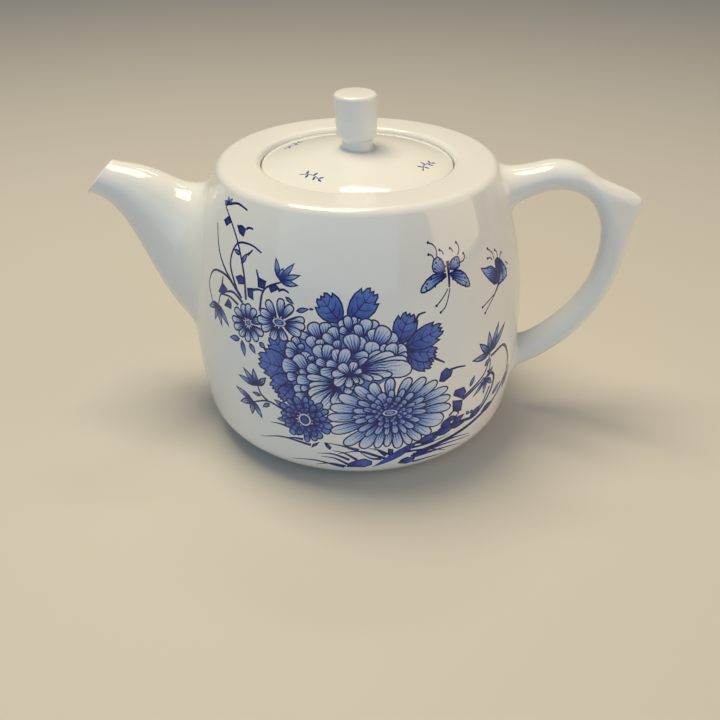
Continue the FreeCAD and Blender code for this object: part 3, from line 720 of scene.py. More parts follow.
def painted_patch(bm, paint, skin, columns, rows):
    """Fill a rectangle of skin with triangles that follow the touches; return its faces."""
    petal_layer = bm.loops.layers.float_vector["petal"]
    tone_layer = bm.loops.layers.float_vector["tone"]
    bake = bm.loops.layers.uv["OFBake"]
    places = []
    for column in range(columns + 1):
        across = skin.half * (2 * column / columns - 1)
        for row in range(rows + 1):
            places.append(Vector((across, skin.low + (skin.high - skin.low) * row / rows)))
    shapes = []
    for item in paint:
        start = len(places)
        for spot in item.outline:
            height = min(max(spot.imag, skin.low + PATCH_EDGE), skin.high - PATCH_EDGE)
            across = min(max(spot.real, PATCH_EDGE - skin.half), skin.half - PATCH_EDGE)
            places.append(Vector((across, height)))
        shapes.append(list(range(start, len(places))))
    spots, _, triangles, _, _, owners = delaunay_2d_cdt(places, [], shapes, 0, 1e-4)
    corners = [bm.verts.new(skin.place(spot.x, spot.y)) for spot in spots]
    faces = []
    for triangle, owner in zip(triangles, owners):
        face = bm.faces.new([corners[index] for index in triangle])
        faces.append(face)
        top = max((index for index in owner if index < len(paint)), default=None)
        for loop, index in zip(face.loops, triangle):
            spot = spots[index]
            loop[bake].uv = bake_place(spot, skin)
            if top is not None:
                loop[petal_layer], loop[tone_layer] = brushed(paint[top], complex(spot.x, spot.y))
    return faces


def brushed(item, spot):
    """What the glaze needs at a place: how far along and across the touch it is, and its tones."""
    way = item.tip - item.foot
    local = (spot - item.foot) * way.conjugate() / abs(way)
    return (local.real, local.imag, abs(way)), (item.deep, item.pale, math.radians(item.veins))


FRONT_SHARE = 0.4
FRONT_HALF = 60.0
MAP_HALF = 0.495
MAP_TOP = 0.995
PATCH_FOOT = 0.42


def bake_place(spot, skin):
    """A place on the piece's own map, which gives the front more room than the back."""
    front = min(FRONT_HALF, skin.half / 2)
    side = math.copysign(1, spot.x)
    inner = min(abs(spot.x), front) / front * FRONT_SHARE
    outer = max(abs(spot.x) - front, 0.0) / (skin.half - front) * (MAP_HALF - FRONT_SHARE)
    upward = (spot.y - skin.low) / (skin.high - skin.low)
    return 0.5 + side * (inner + outer), PATCH_FOOT + (MAP_TOP - PATCH_FOOT) * upward


print("the middle", 2 * FRONT_HALF, "mm get", round(2 * FRONT_SHARE * 100), "% of the map's width")

# %% The unrolled wall
PAINT_LOW = 4.4
PAINT_HIGH = SHOULDER_JOIN / MM


def wall_place(across, height):
    """A place on the outside of the pot, from its place on the unrolled wall."""
    angle = across * MM / BELLY
    radius = outer_radius(height * MM)
    return Vector((radius * math.sin(angle), -radius * math.cos(angle), height * MM))


def wall_normal(place):
    """The direction that the outside faces at a place."""
    arc = outer_arc(place.z)
    out = Vector((place.x, place.y, 0)).normalized() * (outer_radius(place.z) - arc.radius)
    return (out + Vector((0, 0, place.z - arc.height))).normalized()


wall_skin = Skin(HALF_GIRTH, PAINT_LOW, PAINT_HIGH, wall_place)
paint_tall = round(PAINT_HIGH - PAINT_LOW)
print("the painted wall is", round(2 * HALF_GIRTH), "mm round and", paint_tall, "mm high")

# %% [markdown]
# Turned outlines are spun with bmesh: a chain of edges on the back of the pot
# goes once round the axis. A lathe modifier would do the same, but the operator
# leaves a finished mesh that can take the painted patch. A vertex layer keeps
# how far along the outline each ring is, so the map for baking can be unrolled.

# %% Outlines
def bow(arc, first, last, steps):
    """Places on an arc from one angle to another, in degrees up from the outward direction."""
    places = []
    for step in range(steps + 1):
        turn = math.radians(first + (last - first) * step / steps)
        out, up = arc.size * math.cos(turn), arc.size * math.sin(turn)
        places.append((arc.radius + out, arc.height + up))
    return places


def corner(before, at, after, size, steps=4):
    """A corner of an outline, rounded off over this length on both sides."""
    before, at, after = Vector(before), Vector(at), Vector(after)
    start = at + (before - at).normalized() * size
    end = at + (after - at).normalized() * size
    places = []
    for step in range(steps + 1):
        t = step / steps
        places.append(tuple(start * (1 - t) ** 2 + at * 2 * t * (1 - t) + end * t * t))
    return places


def soft_outline(corners, size):
    """An outline whose inner corners are all rounded off."""
    places = [corners[0]]
    for before, at, after in zip(corners, corners[1:], corners[2:]):
        places += corner(before, at, after, size)
    return places + [corners[-1]]


def angle_up(arc, height):
    """The angle of an arc at a height, in degrees."""
    return math.degrees(math.asin((height - arc.height) / arc.size))


print("corners are rounded over", round(SOFT_EDGE / MM, 2), "mm")


# %% Turning
def new_clay():
    """An empty mesh with the layers that the glaze reads."""
    bm = bmesh.new()
    bm.loops.layers.float_vector.new("petal")
    bm.loops.layers.float_vector.new("tone")
    bm.loops.layers.uv.new("OFBake")
    bm.verts.layers.float.new("along")
    return bm


def spun(bm, outline, low, high):
    """Turn an outline of radius and height round the axis, with its map between two heights."""
    along = bm.verts.layers.float["along"]
    length = 0.0
    chain = []
    for index, place in enumerate(outline):
        if index:
            length += (Vector(place) - Vector(outline[index - 1])).length
        vert = bm.verts.new((0, place[0], place[1]))
        vert[along] = length
        chain.append(vert)
    edges = [bm.edges.new(pair) for pair in zip(chain, chain[1:])]
    before = set(bm.faces)
    bmesh.ops.spin(
        bm, geom=chain + edges, angle=math.tau, steps=TURN_STEPS, axis=(0, 0, 1), cent=(0, 0, 0),
        use_merge=True)
    unroll(bm, [face for face in bm.faces if face not in before], length, low, high)


ON_AXIS = 1e-7


def unroll(bm, faces, length, low, high):
    """Give turned faces their strip of the map for baking."""
    along = bm.verts.layers.float["along"]
    bake = bm.loops.layers.uv["OFBake"]
    for face in faces:
        middle = face.calc_center_median()
        heading = math.atan2(-middle.x, middle.y)
        for loop in face.loops:
            place = loop.vert.co
            turn = math.atan2(-place.x, place.y) if place.xy.length > ON_AXIS else heading
            turn = heading + math.remainder(turn - heading, math.tau)
            upward = low + (high - low) * loop.vert[along] / length
            loop[bake].uv = 0.5 + MAP_HALF * turn / math.pi * 0.99, upward


def finish_clay(bm, name):
    """Close the seams, face everything outwards and make the smooth object."""
    bmesh.ops.remove_doubles(bm, verts=bm.verts, dist=2e-7)
    bmesh.ops.recalc_face_normals(bm, faces=bm.faces)
    for face in bm.faces:
        face.smooth = True
    mesh = bpy.data.meshes.new(name)
    bm.to_mesh(mesh)
    bm.free()
    piece = bpy.data.objects.new(name, mesh)
    bpy.context.collection.objects.link(piece)
    print(name, "has", len(mesh.vertices), "vertices and", len(mesh.polygons), "faces")
    return piece


print("an outline is turned in", TURN_STEPS, "steps")

# %% Boring
DRILL_LENGTH = 20 * MM
DRILL_SIDES = 48


def bored(piece, radius, place):
    """Bore a round hole through a piece; the place carries an upright drill to where it cuts."""
    drill_mesh = bpy.data.meshes.new("drill")
    bit = bmesh.new()
    bmesh.ops.create_cone(
        bit, cap_ends=True, segments=DRILL_SIDES, radius1=radius, radius2=radius,
        depth=DRILL_LENGTH, matrix=place)
    bit.to_mesh(drill_mesh)
    bit.free()
    drill = bpy.data.objects.new("drill", drill_mesh)
    bpy.context.collection.objects.link(drill)
    cut = piece.modifiers.new("bore", "BOOLEAN")
    cut.object = drill
    cut.operation = "DIFFERENCE"
    cut.solver = "EXACT"
    bpy.context.view_layer.update()
    finished = piece.evaluated_get(bpy.context.evaluated_depsgraph_get())
    piece.data = bpy.data.meshes.new_from_object(finished)
    piece.modifiers.clear()
    bpy.data.objects.remove(drill)
    width = round(2 * radius / MM, 1)
    print("bored", piece.name, "by", width, "mm:", len(piece.data.polygons), "faces")


print("the drill has", DRILL_SIDES, "sides")

# %% [markdown]
# The body is three turned strips in one skin: the base with its foot ring below
# the painting, the painted wall, and the shoulder that runs over the rim, down
# the gallery and on inside to the floor. They meet ring on ring and are merged.

# %% The body
INNER_ARC = Arc(side_arc.radius, BELLY_HEIGHT, SIDE_ARC - WALL)
inner_low = FLOOR + BASE_ROUND - WALL
ceiling_end = CEILING - 5.5 * MM
bow_start = CEILING - 7.5 * MM
foot_inside = FOOT_RADIUS - FOOT_WIDTH

WALL_ROWS = 44
clay = new_clay()
base_outline = bow(base_arc, angle_up(base_arc, PAINT_LOW * MM), -90, 14)
base_outline += soft_outline([
    (base_arc.radius - 0.4 * MM, FOOT_HEIGHT),
    (FOOT_RADIUS, FOOT_HEIGHT),
    (FOOT_RADIUS, 0),
    (foot_inside, 0),
    (foot_inside, FOOT_RECESS),
    (0, FOOT_RECESS),
], SOFT_EDGE)
spun(clay, base_outline, 0.005, 0.1)

rim = Arc(GALLERY_RADIUS + GALLERY_ROUND, POT_TOP - GALLERY_ROUND, GALLERY_ROUND)
top_outline = bow(shoulder_arc, angle_up(shoulder_arc, SHOULDER_JOIN), 90, 12)
top_outline += bow(rim, 90, 180, 8)
top_outline += soft_outline([
    (GALLERY_RADIUS, SEAT + 2 * MM),
    (GALLERY_RADIUS, SEAT),
    (MOUTH_RADIUS, SEAT),
    (MOUTH_RADIUS, CEILING),
    (arc_radius(INNER_ARC, CEILING), CEILING),
    (arc_radius(INNER_ARC, ceiling_end), ceiling_end),
], SOFT_EDGE)
top_outline += bow(INNER_ARC, angle_up(INNER_ARC, bow_start), angle_up(INNER_ARC, inner_low), 22)
floor_arc = Arc(arc_radius(INNER_ARC, inner_low) - BASE_ROUND + WALL, inner_low, BASE_ROUND - WALL)
top_outline += bow(floor_arc, -10, -90, 8) + [(0, FLOOR)]
spun(clay, top_outline, 0.11, 0.41)
painted_patch(clay, wall_paint, wall_skin, TURN_STEPS, WALL_ROWS)
pot = finish_clay(clay, "painted_pot")
lying = Matrix.Rotation(math.radians(90), 4, "Y")
bored(pot, PORT_RADIUS, Matrix.Translation((-BELLY, 0, PORT_HEIGHT)) @ lying)

# %% An even gloss on the painted wall
NEAR = 0.01 * MM


def on_painted_wall(place):
    """Whether a place is on the outside between the base and the shoulder."""
    height = place.z / MM
    inside_patch = wall_skin.low - NEAR / MM <= height <= wall_skin.high + NEAR / MM
    return inside_patch and abs(place.xy.length - wall_place(0, height).xy.length) < NEAR


def keep_round(piece, on_skin, normal):
    """Give the painted skin the normals of the turned form, so its gloss stays even."""
    facing = [normal(vert.co) if on_skin(vert.co) else vert.normal for vert in piece.data.vertices]
    piece.data.normals_split_custom_set_from_vertices(facing)


keep_round(pot, on_painted_wall, wall_normal)
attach(pot, "pot")
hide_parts("pot_body")
print("pot with", len(wall_paint), "touches")

# %% [markdown]
# The lid is turned too: a shallow dome with a rounded edge above and a flange
# below that keeps it from sliding. It carries a few pale sprigs, laid out in the
# same way as the wall, with the girth of the lid across and its radius upwards.
# The vent is a small round hole behind the knob, cut with a boolean because it
# runs straight down through a curved shell.

# %% Sizes of the lid
LID_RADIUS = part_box("lid")[1].x
LID_EDGE_TOP = SEAT + 2.8 * MM
LID_RISE = 3.9 * MM
LID_EDGE_ROUND = 0.9 * MM
FLANGE_RADIUS = 20.65 * MM
FLANGE_WALL = 2.6 * MM
KNOB_FOOT = 4.6 * MM
VENT_PLACE = 11.5 * MM
VENT_RADIUS = 1.3 * MM
LID_WALL = 2.8 * MM
DOME_SIZE = (LID_RADIUS ** 2 + LID_RISE ** 2) / (2 * LID_RISE)
dome_arc = Arc(0.0, LID_EDGE_TOP + LID_RISE - DOME_SIZE, DOME_SIZE)
under_arc = Arc(0.0, dome_arc.height, DOME_SIZE - LID_WALL)


def dome_height(arc, radius):
    """The height of the lid's dome, above or below, at a radius."""
    return arc.height + math.sqrt(arc.size ** 2 - radius ** 2)


KNOB_SEAT = dome_height(dome_arc, KNOB_FOOT)
LID_GIRTH = 16.0
LID_PAINT_LOW = 7.0
LID_PAINT_HIGH = 22.6


def lid_place(across, out):
    """A place on the lid, from its place on the unrolled lid."""
    angle = across / LID_GIRTH
    radius = out * MM
    height = dome_height(dome_arc, radius)
    return Vector((radius * math.sin(angle), -radius * math.cos(angle), height))


def lid_normal(place):
    """The direction that the dome faces at a place."""
    return (place - Vector((0, 0, dome_arc.height))).normalized()


lid_skin = Skin(math.pi * LID_GIRTH, LID_PAINT_LOW, LID_PAINT_HIGH, lid_place)
print("dome of radius", round(DOME_SIZE / MM, 1), "mm")
print("the knob sits at", round(KNOB_SEAT / MM, 1), "mm")

# %% Sprigs on the lid
lid_paint = []
SPRIG_OUT = 18.6
SPRIG_TURNS = (-122, -20, 67, 157)
SPRIG_LEAF_WIDTH = 0.62
SPRIG_STEM = (-3.4 - 0.5j, -1.2 + 0.3j, 1.0 + 0.2j, 2.6 - 0.6j)
SPRIG_LEAVES = (
    (-1.7 + 0.2j, -2.3 + 1.7j), (-1.2 + 0.2j, -1.0 - 1.4j), (0.3 + 0.2j, 0.5 + 1.9j),
    (0.9 + 0.1j, 1.5 - 1.5j), (2.3 - 0.4j, 3.7 - 1.2j), (2.1 - 0.3j, 3.3 + 0.8j),
)


def on_lid(place):
    """A place on the lid, seen from above, as a place on the unrolled lid."""
    return complex(cmath.phase(place * 1j) * LID_GIRTH, abs(place))


for turn in SPRIG_TURNS:
    outward = cmath.rect(1, math.radians(turn))
    centre = outward * SPRIG_OUT
    along = outward * 1j
    stroke(lid_paint, [on_lid(centre + along * place) for place in SPRIG_STEM], 0.3, 0.16, 0.78)
    for foot, tip in SPRIG_LEAVES:
        ends = on_lid(centre + along * foot), on_lid(centre + along * tip)
        touch(lid_paint, blade(*ends, SPRIG_LEAF_WIDTH, leaf_fullness), 0.72)
print(len(SPRIG_TURNS), "sprigs with", len(lid_paint), "touches")

# %% The lid
clay = new_clay()
edge_arc = Arc(LID_RADIUS - LID_EDGE_ROUND, LID_EDGE_TOP - 0.75 * MM, LID_EDGE_ROUND)
paint_edge = LID_PAINT_HIGH * MM
rim_outline = [(paint_edge, dome_height(dome_arc, paint_edge))]
rim_outline += bow(edge_arc, 72, 0, 8)
LID_SOFT_EDGE = 0.3 * MM
UNDER_RING = 12 * MM
LID_ROWS = 12
flange_end = SEAT - 6.0 * MM
flange_inside = FLANGE_RADIUS - FLANGE_WALL
rim_outline += soft_outline([
    (LID_RADIUS, SEAT + 1.0 * MM),
    (LID_RADIUS, SEAT),
    (FLANGE_RADIUS, SEAT),
    (FLANGE_RADIUS, flange_end),
    (flange_inside, flange_end),
    (flange_inside, dome_height(under_arc, flange_inside)),
    (UNDER_RING, dome_height(under_arc, UNDER_RING)),
], LID_SOFT_EDGE)
rim_outline += [(0.0, dome_height(under_arc, 0.0))]
spun(clay, rim_outline, 0.11, 0.41)
knob_ring = LID_PAINT_LOW * MM
under_knob = dome_height(dome_arc, 0.0) - 0.1 * MM
spun(clay, [(knob_ring, dome_height(dome_arc, knob_ring)), (0.0, under_knob)], 0.005, 0.1)
painted_patch(clay, lid_paint, lid_skin, TURN_STEPS, LID_ROWS)
lid = finish_clay(clay, "painted_lid")
bored(lid, VENT_RADIUS, Matrix.Translation((0, VENT_PLACE, LID_EDGE_TOP)))


def on_dome(place):
    """Whether a place is on the top of the lid."""
    return abs((place - Vector((0, 0, dome_arc.height))).length - DOME_SIZE) < NEAR


keep_round(lid, on_dome, lid_normal)
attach(lid, "lid")
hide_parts("lid")
print("vent of", round(2 * VENT_RADIUS / MM, 1), "mm behind the knob")

# %% [markdown]
# The knob is a button on a short neck, a little wider at its flat top. One
# outline with rounded corners gives it in a single turn. It was set on by hand,
# so it leans half a millimetre.

# %% The knob
knob_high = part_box("lid_knob")[1]
KNOB_TOP = knob_high.z
KNOB_RADIUS = knob_high.x
KNOB_NECK = 3.9 * MM
KNOB_BASE = 5.15 * MM
KNOB_LEAN = -0.5 * MM
neck_height = KNOB_SEAT + 2.2 * MM
base_height = KNOB_SEAT + 3.3 * MM

clay = new_clay()
knob_axis = (0.0, KNOB_TOP)
knob_edge = (KNOB_RADIUS, KNOB_TOP)
knob_base = (KNOB_BASE, base_height)
knob_neck = (KNOB_NECK, neck_height)
knob_root = (KNOB_NECK, KNOB_SEAT)
knob_foot = (KNOB_FOOT, KNOB_SEAT - 0.1 * MM)
knob_outline = [knob_axis]
knob_outline += corner(knob_axis, knob_edge, knob_base, 1.3 * MM, 7)
knob_outline += corner(knob_edge, knob_base, knob_neck, 1.1 * MM, 6)
knob_outline += corner(knob_base, knob_neck, knob_root, 0.5 * MM)
knob_outline += corner(knob_neck, knob_root, knob_foot, 0.6 * MM, 6)
spun(clay, knob_outline, 0.005, 0.995)
lean = KNOB_LEAN / (KNOB_TOP - KNOB_SEAT)
leaning = Matrix(((1, 0, lean, -lean * KNOB_SEAT), (0, 1, 0, 0), (0, 0, 1, 0), (0, 0, 0, 1)))
bmesh.ops.transform(clay, verts=clay.verts, matrix=leaning)
knob = finish_clay(clay, "knob")
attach(knob, "lid")
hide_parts("lid_knob")

# %% [markdown]
# Spout and handle are cast on their own and luted to the leather-hard body with
# slip, which leaves a soft fillet all round. Both are tubes here: rings of an
# oval section along a path, bridged one to the next. Each column of the tube
# runs on until it meets the wall, where it bends out on to the wall in a short
# curve. A boolean union would give a hard line there that has to be bevelled.

# %% Tubes that meet the wall
FILLET_STEPS = 8


def on_wall(place, sink=0.08 * MM):
    """The nearest place on the outside of the pot, a hair below its surface."""
    height = min(max(place.z, 3 * MM), POT_TOP - 0.3 * MM)
    out = Vector((place.x, place.y, 0)).normalized() * (outer_radius(height) - sink)
    return Vector((out.x, out.y, height))


def depth_in_wall(place):
    """How far inside the outer surface a place is, measured towards the axis."""
    return outer_radius(min(max(place.z, 2 * MM), POT_TOP)) - place.xy.length


def spread_evenly(places, count):
    """The same line with this many places at even distances."""
    lengths = [0.0]
    for before, after in zip(places, places[1:]):
        lengths.append(lengths[-1] + (after - before).length)
    even = []
    index = 0
    for step in range(count):
        goal = lengths[-1] * step / (count - 1)
        while index < len(places) - 2 and lengths[index + 1] < goal:
            index += 1
        share = (goal - lengths[index]) / max(lengths[index + 1] - lengths[index], 1e-9)
        even.append(places[index].lerp(places[index + 1], share))
    return even


def rooted(column, hearts, run, spread, count):
    """Cut a column where it meets the wall and round it off on to the wall."""
    index = next(step for step, place in enumerate(column) if depth_in_wall(place) > 0)
    before = -depth_in_wall(column[index - 1])
    share = before / (before + depth_in_wall(column[index]))
    meeting = column[index - 1].lerp(column[index], share)
    free = column[:index] + [meeting]
    while len(free) > 2 and (free[-2] - meeting).length < run:
        free.pop(-2)
    start = meeting + (free[-2] - meeting).normalized() * run
    facing = wall_normal(on_wall(meeting))
    away = meeting - hearts[index]
    away = (away - facing * away.dot(facing)).normalized()
    end = on_wall(meeting + away * spread)
    bend = []
    for step in range(1, FILLET_STEPS + 1):
        t = step / FILLET_STEPS
        bend.append(start * (1 - t) ** 2 + meeting * 2 * t * (1 - t) + end * t * t)
    return spread_evenly(free[:-1] + [start], count) + bend


def bridged(bm, columns):
    """Rings across a set of columns, bridged one to the next."""
    rings = []
    for level in zip(*columns):
        verts = [bm.verts.new(place) for place in level]
        rings.append([bm.edges.new(pair) for pair in zip(verts, verts[1:] + verts[:1])])
    for before, after in zip(rings, rings[1:]):
        bmesh.ops.bridge_loops(bm, edges=before + after)


print("a root bends out on to the wall in", FILLET_STEPS, "steps")

# %% [markdown]
# The spout is a broad cone that is drawn out and up to a slanted mouth. Its
# section is an oval that grows towards the root. The lip is half a round between
# the outside and the bore, and the bore runs back to the port in the wall.

# %% Sizes of the spout
SPOUT_TIP = Vector((-(BELLY + 23.8 * MM), 0, POT_TOP - 6.7 * MM))
SPOUT_ROOT = Vector((-(BELLY - 10.0 * MM), 0, POT_TOP - 27.7 * MM))
SPOUT_SWAY = 2.5 * MM
SPOUT_SWELL = 1.71
TIP_TILT = 49.7
ROOT_TURN = 22.3
TIP_TALL = 10.7
TALL_GROWTH = 35.6
TIP_WIDE = 9.9
WIDE_GROWTH = 29.9
TIP_WALL = 1.7
WALL_GROWTH = 1.3
BROW_RISE = 0.25 * MM
BROW_SHARE = 0.12
Ring = namedtuple("Ring", "heart long tall wide")


def spout_ring(share, wall):
    """The spout's oval at a share of its length, drawn in by a part of its wall."""
    sway = Vector((0, 0, SPOUT_SWAY * math.sin(math.tau * share)))
    heart = SPOUT_TIP.lerp(SPOUT_ROOT, share) + sway
    tilt = math.radians(TIP_TILT + ROOT_TURN * share ** 3)
    swell = share ** SPOUT_SWELL
    thick = wall * (TIP_WALL + WALL_GROWTH * share) * MM
    brow = BROW_RISE * max(1 - share / BROW_SHARE, 0.0) ** 2
    tall = (TIP_TALL + TALL_GROWTH * swell) / 2 * MM + brow - thick
    wide = (TIP_WIDE + WIDE_GROWTH * swell) / 2 * MM - thick
    long = Vector((math.cos(tilt), 0, math.sin(tilt)))
    return Ring(heart + long * brow, long, tall, wide)


def ring_place(ring, angle):
    """A place on an oval ring; angle zero is the end of its long axis."""
    aside = Vector((0, ring.wide * math.sin(angle), 0))
    return ring.heart + ring.long * ring.tall * math.cos(angle) + aside


print("spout of", round((SPOUT_TIP - SPOUT_ROOT).length / MM, 1), "mm from tip to root")

# %% The spout
SPOUT_COLUMNS = 72
SPOUT_RINGS = 40
SPOUT_SECTIONS = 60
TIP_CROWDING = 1.2
shares = [(step / SPOUT_SECTIONS) ** TIP_CROWDING for step in range(SPOUT_SECTIONS + 1)]
outer_rings = [spout_ring(share, 0) for share in shares]
bore_rings = [spout_ring(share, 1) for share in shares]
hearts = [ring.heart for ring in outer_rings]
LIP_STEPS = 8
LIP_REACH = 0.8
LIP_LIMIT = 0.6
BORE_RINGS = 16
BORE_SINK = 0.2 * MM
RUN_BELOW = 5.0 * MM
RUN_GROWTH = 4.0 * MM
SPREAD_BELOW = 3.5 * MM
SPREAD_GROWTH = 3.5 * MM
columns = []
for index in range(SPOUT_COLUMNS):
    angle = math.tau * index / SPOUT_COLUMNS
    outside = [ring_place(ring, angle) for ring in outer_rings]
    inside = [ring_place(ring, angle) for ring in bore_rings]
    upper = 0.5 + 0.5 * math.cos(angle)
    root_run = RUN_BELOW + RUN_GROWTH * upper
    root_spread = SPREAD_BELOW + SPREAD_GROWTH * upper
    outside = rooted(outside, hearts, root_run, root_spread, SPOUT_RINGS)
    end = next(step for step, place in enumerate(inside) if depth_in_wall(place) > BORE_SINK)
    inside = spread_evenly(inside[:end + 1], BORE_RINGS)
    lip = []
    middle = (outside[0] + inside[0]) / 2
    half = (outside[0] - inside[0]) / 2
    reach = half.length * LIP_REACH
    forward = (outside[0] - outside[1]).normalized() * reach
    for step in range(1, LIP_STEPS):
        turn = math.pi * step / LIP_STEPS
        lip.append(middle + half * math.cos(turn) + forward * math.sin(turn) - forward)
    back = min(reach / (outside[1] - outside[0]).length, LIP_LIMIT)
    outside[0] = outside[0].lerp(outside[1], back)
    columns.append(inside[:0:-1] + lip[::-1] + outside)

clay = bmesh.new()
bridged(clay, columns)
spout = finish_clay(clay, "glazed_spout")
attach(spout, "pot")
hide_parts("spout")

# %% [markdown]
# The handle is an ear: a round arch from the shoulder, a long grip that curves
# back down to the body, and a thumb spur where the two meet. Its section is an
# oval, wider across than it is thick. The spur is drawn out of the same rings,
# so that it flows from the handle as pulled clay does.

# %% Sizes of the handle
HANDLE_REACH = BELLY / MM + 23.0
ARCH_CENTRE = complex(HANDLE_REACH - 15.25, POT_TOP / MM - 18.7)
ARCH_INSIDE = 11.75
ARCH_START = 107.5
BROW_ANGLE = 55.0
GRIP_END = -65.0
SPUR_ANGLE = 23.3
SPUR_TIP = 4.2
SPUR_OUT = 22.75
SPUR_ABOVE = (44.0, 2.6)
SPUR_BELOW = (36.0, 2.6)
CORNER_FILL = 0.5
FILL_ANGLE = 20.0
FILL_SPREAD = 22.0
ARCH_THICK = 7.7
BROW_THICK = 5.8
CORNER_THICK = 7.0
GRIP_LOW = 18.9
grip_size = (ARCH_CENTRE.imag - GRIP_LOW) / math.sin(math.radians(-GRIP_END))
grip_centre = complex(HANDLE_REACH - grip_size, ARCH_CENTRE.imag)
Station = namedtuple("Station", "middle tilt thick spur")


def arch_thick(angle):
    """Thickness round the arch: thinner from the root to the brow, then thicker to the corner."""
    if angle > BROW_ANGLE:
        share = (ARCH_START - angle) / (ARCH_START - BROW_ANGLE)
        ease = share ** 2 * (1 + 2 * (1 - share) * share ** 3)
        return ARCH_THICK - (ARCH_THICK - BROW_THICK) * ease
    return BROW_THICK + (CORNER_THICK - BROW_THICK) * (1 - angle / BROW_ANGLE) ** 1.5


def spur_share(angle):
    """How far the spur stands out at an angle, from none to all of it."""
    spread, power = SPUR_ABOVE if angle > SPUR_ANGLE else SPUR_BELOW
    near = math.hypot(angle - SPUR_ANGLE, SPUR_TIP)
    return (max(1 - near / spread, 0.0) / (1 - SPUR_TIP / spread)) ** power


def corner_station(centre, size, angle, thick, arch_angle):
    """A ring of the arch or the grip, filled a little on the inside of the corner."""
    fill = CORNER_FILL * math.exp(-((arch_angle - FILL_ANGLE) / FILL_SPREAD) ** 2)
    middle = centre + cmath.rect(size - fill / 2, math.radians(angle))
    return Station(middle, angle, thick + fill, spur_share(arch_angle))


print("the grip is an arc of", round(grip_size, 1), "mm")

# %% Rings along the handle
ROOT_STEPS = 12
ROOT_RUN = 16.0
ROOT_FLARE = 5.7
stations = []
start_turn = cmath.rect(1, math.radians(ARCH_START))
arch_start = ARCH_CENTRE + start_turn * (ARCH_INSIDE + ARCH_THICK / 2)
for step in range(ROOT_STEPS):
    share = 1 - step / ROOT_STEPS
    middle = arch_start + 1j * start_turn * ROOT_RUN * share
    stations.append(Station(middle, ARCH_START, ARCH_THICK + ROOT_FLARE * share ** 1.6, 0.0))
ARCH_STEP = 1.5
for step in range(int(ARCH_START / ARCH_STEP) + 1):
    angle = ARCH_START - step * ARCH_STEP
    thick = arch_thick(angle)
    stations.append(corner_station(ARCH_CENTRE, ARCH_INSIDE + thick / 2, angle, thick, angle))
GRIP_STEPS = 26
WAIST_STEP = 8
WAIST_THINNER = 0.6
END_THICKER = 1.1
GRIP_BOW = 0.2
BOW_STEPS = 10
ARCH_ROUND = 18.0
for step in range(1, GRIP_STEPS + 1):
    angle = GRIP_END * step / GRIP_STEPS
    thick = CORNER_THICK - WAIST_THINNER * min(step / WAIST_STEP, 1)
    thick += END_THICKER * max(step - WAIST_STEP, 0) / (GRIP_STEPS - WAIST_STEP)
    size = grip_size + GRIP_BOW * min(step / BOW_STEPS, 1)
    arch_angle = angle * grip_size / ARCH_ROUND
    stations.append(corner_station(grip_centre, size, angle, thick, arch_angle))
LOW_ROOT = complex(BELLY / MM - 6.2, 13.8)
LOW_STEPS = 12
LOW_TURN = 11
LOW_FLARE = 3.4
low_start = stations[-1]
low_places = [stations[-6].middle, low_start.middle, LOW_ROOT, 2 * LOW_ROOT - low_start.middle]
low_way = curve_through(low_places, LOW_STEPS)[LOW_STEPS + 1:2 * LOW_STEPS + 2]
for step, middle in enumerate(low_way, start=1):
    share = step / len(low_way)
    flared = low_start.thick + LOW_FLARE * share ** 1.5
    stations.append(Station(middle, GRIP_END - LOW_TURN * share, flared, 0.0))
print(len(stations), "rings along the handle")

# %% The handle
EXTRA_WIDTH = 2.2
SPUR_TAPER = 0.35


def handle_place(station, angle):
    """A place on the handle's oval; angle zero faces away from the finger gap."""
    out = cmath.rect(1, math.radians(station.tilt))
    reach = station.thick / 2 * math.cos(angle)
    aside = (station.thick + EXTRA_WIDTH) / 2 * math.sin(angle)
    outer_half = max(math.cos(angle), 0.0)
    spur_reach = SPUR_OUT - ARCH_INSIDE + CORNER_FILL - station.thick
    reach += station.spur * spur_reach * outer_half ** 1.5
    aside *= 1 - SPUR_TAPER * station.spur ** 2 * outer_half
    place = station.middle + out * reach
    return Vector((place.real * MM, aside * MM, place.imag * MM))


hearts = [Vector((s.middle.real * MM, 0, s.middle.imag * MM)) for s in stations]
ends = [index for index, station in enumerate(stations) if station.spur > 0]
first, last = ends[0], ends[-1]
HANDLE_COLUMNS = 64
LIMB_RINGS = 36
UPPER_FILLET = (3.6 * MM, 2.6 * MM)
LOWER_FILLET = (3.2 * MM, 2.2 * MM)
columns = []
for index in range(HANDLE_COLUMNS):
    angle = math.tau * index / HANDLE_COLUMNS
    places = [handle_place(station, angle) for station in stations]
    upper = rooted(places[first::-1], hearts[first::-1], *UPPER_FILLET, LIMB_RINGS)
    lower = rooted(places[last:], hearts[last:], *LOWER_FILLET, LIMB_RINGS)
    columns.append(upper[:0:-1] + places[first:last] + lower)

clay = bmesh.new()
bridged(clay, columns)
handle = finish_clay(clay, "glazed_handle")
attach(handle, "pot")
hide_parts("handle")

# %% [markdown]
# The glaze is one recipe in two coats: clear gloss over white clay, and the same
# over cobalt. A shared node group gives the small things that every glaze has: a
# slow drift between warm and cool white, a faint ripple and an uneven gloss. It
# reads object coordinates, so it stays with the piece when the lid moves.

# %% The shared glaze
GLAZE_SOCKETS = (
    ("White", "Color"), ("Roughness", "Float"), ("Normal", "Vector"), ("Wash", "Float"),
)
glaze = bpy.data.node_groups.new("kiln_glaze", "ShaderNodeTree")
for name, kind in GLAZE_SOCKETS:
    glaze.interface.new_socket(name, in_out="OUTPUT", socket_type="NodeSocket" + kind)
nodes = glaze.nodes
links = glaze.links
group_out = nodes.new("NodeGroupOutput")
place = nodes.new("ShaderNodeTexCoord")


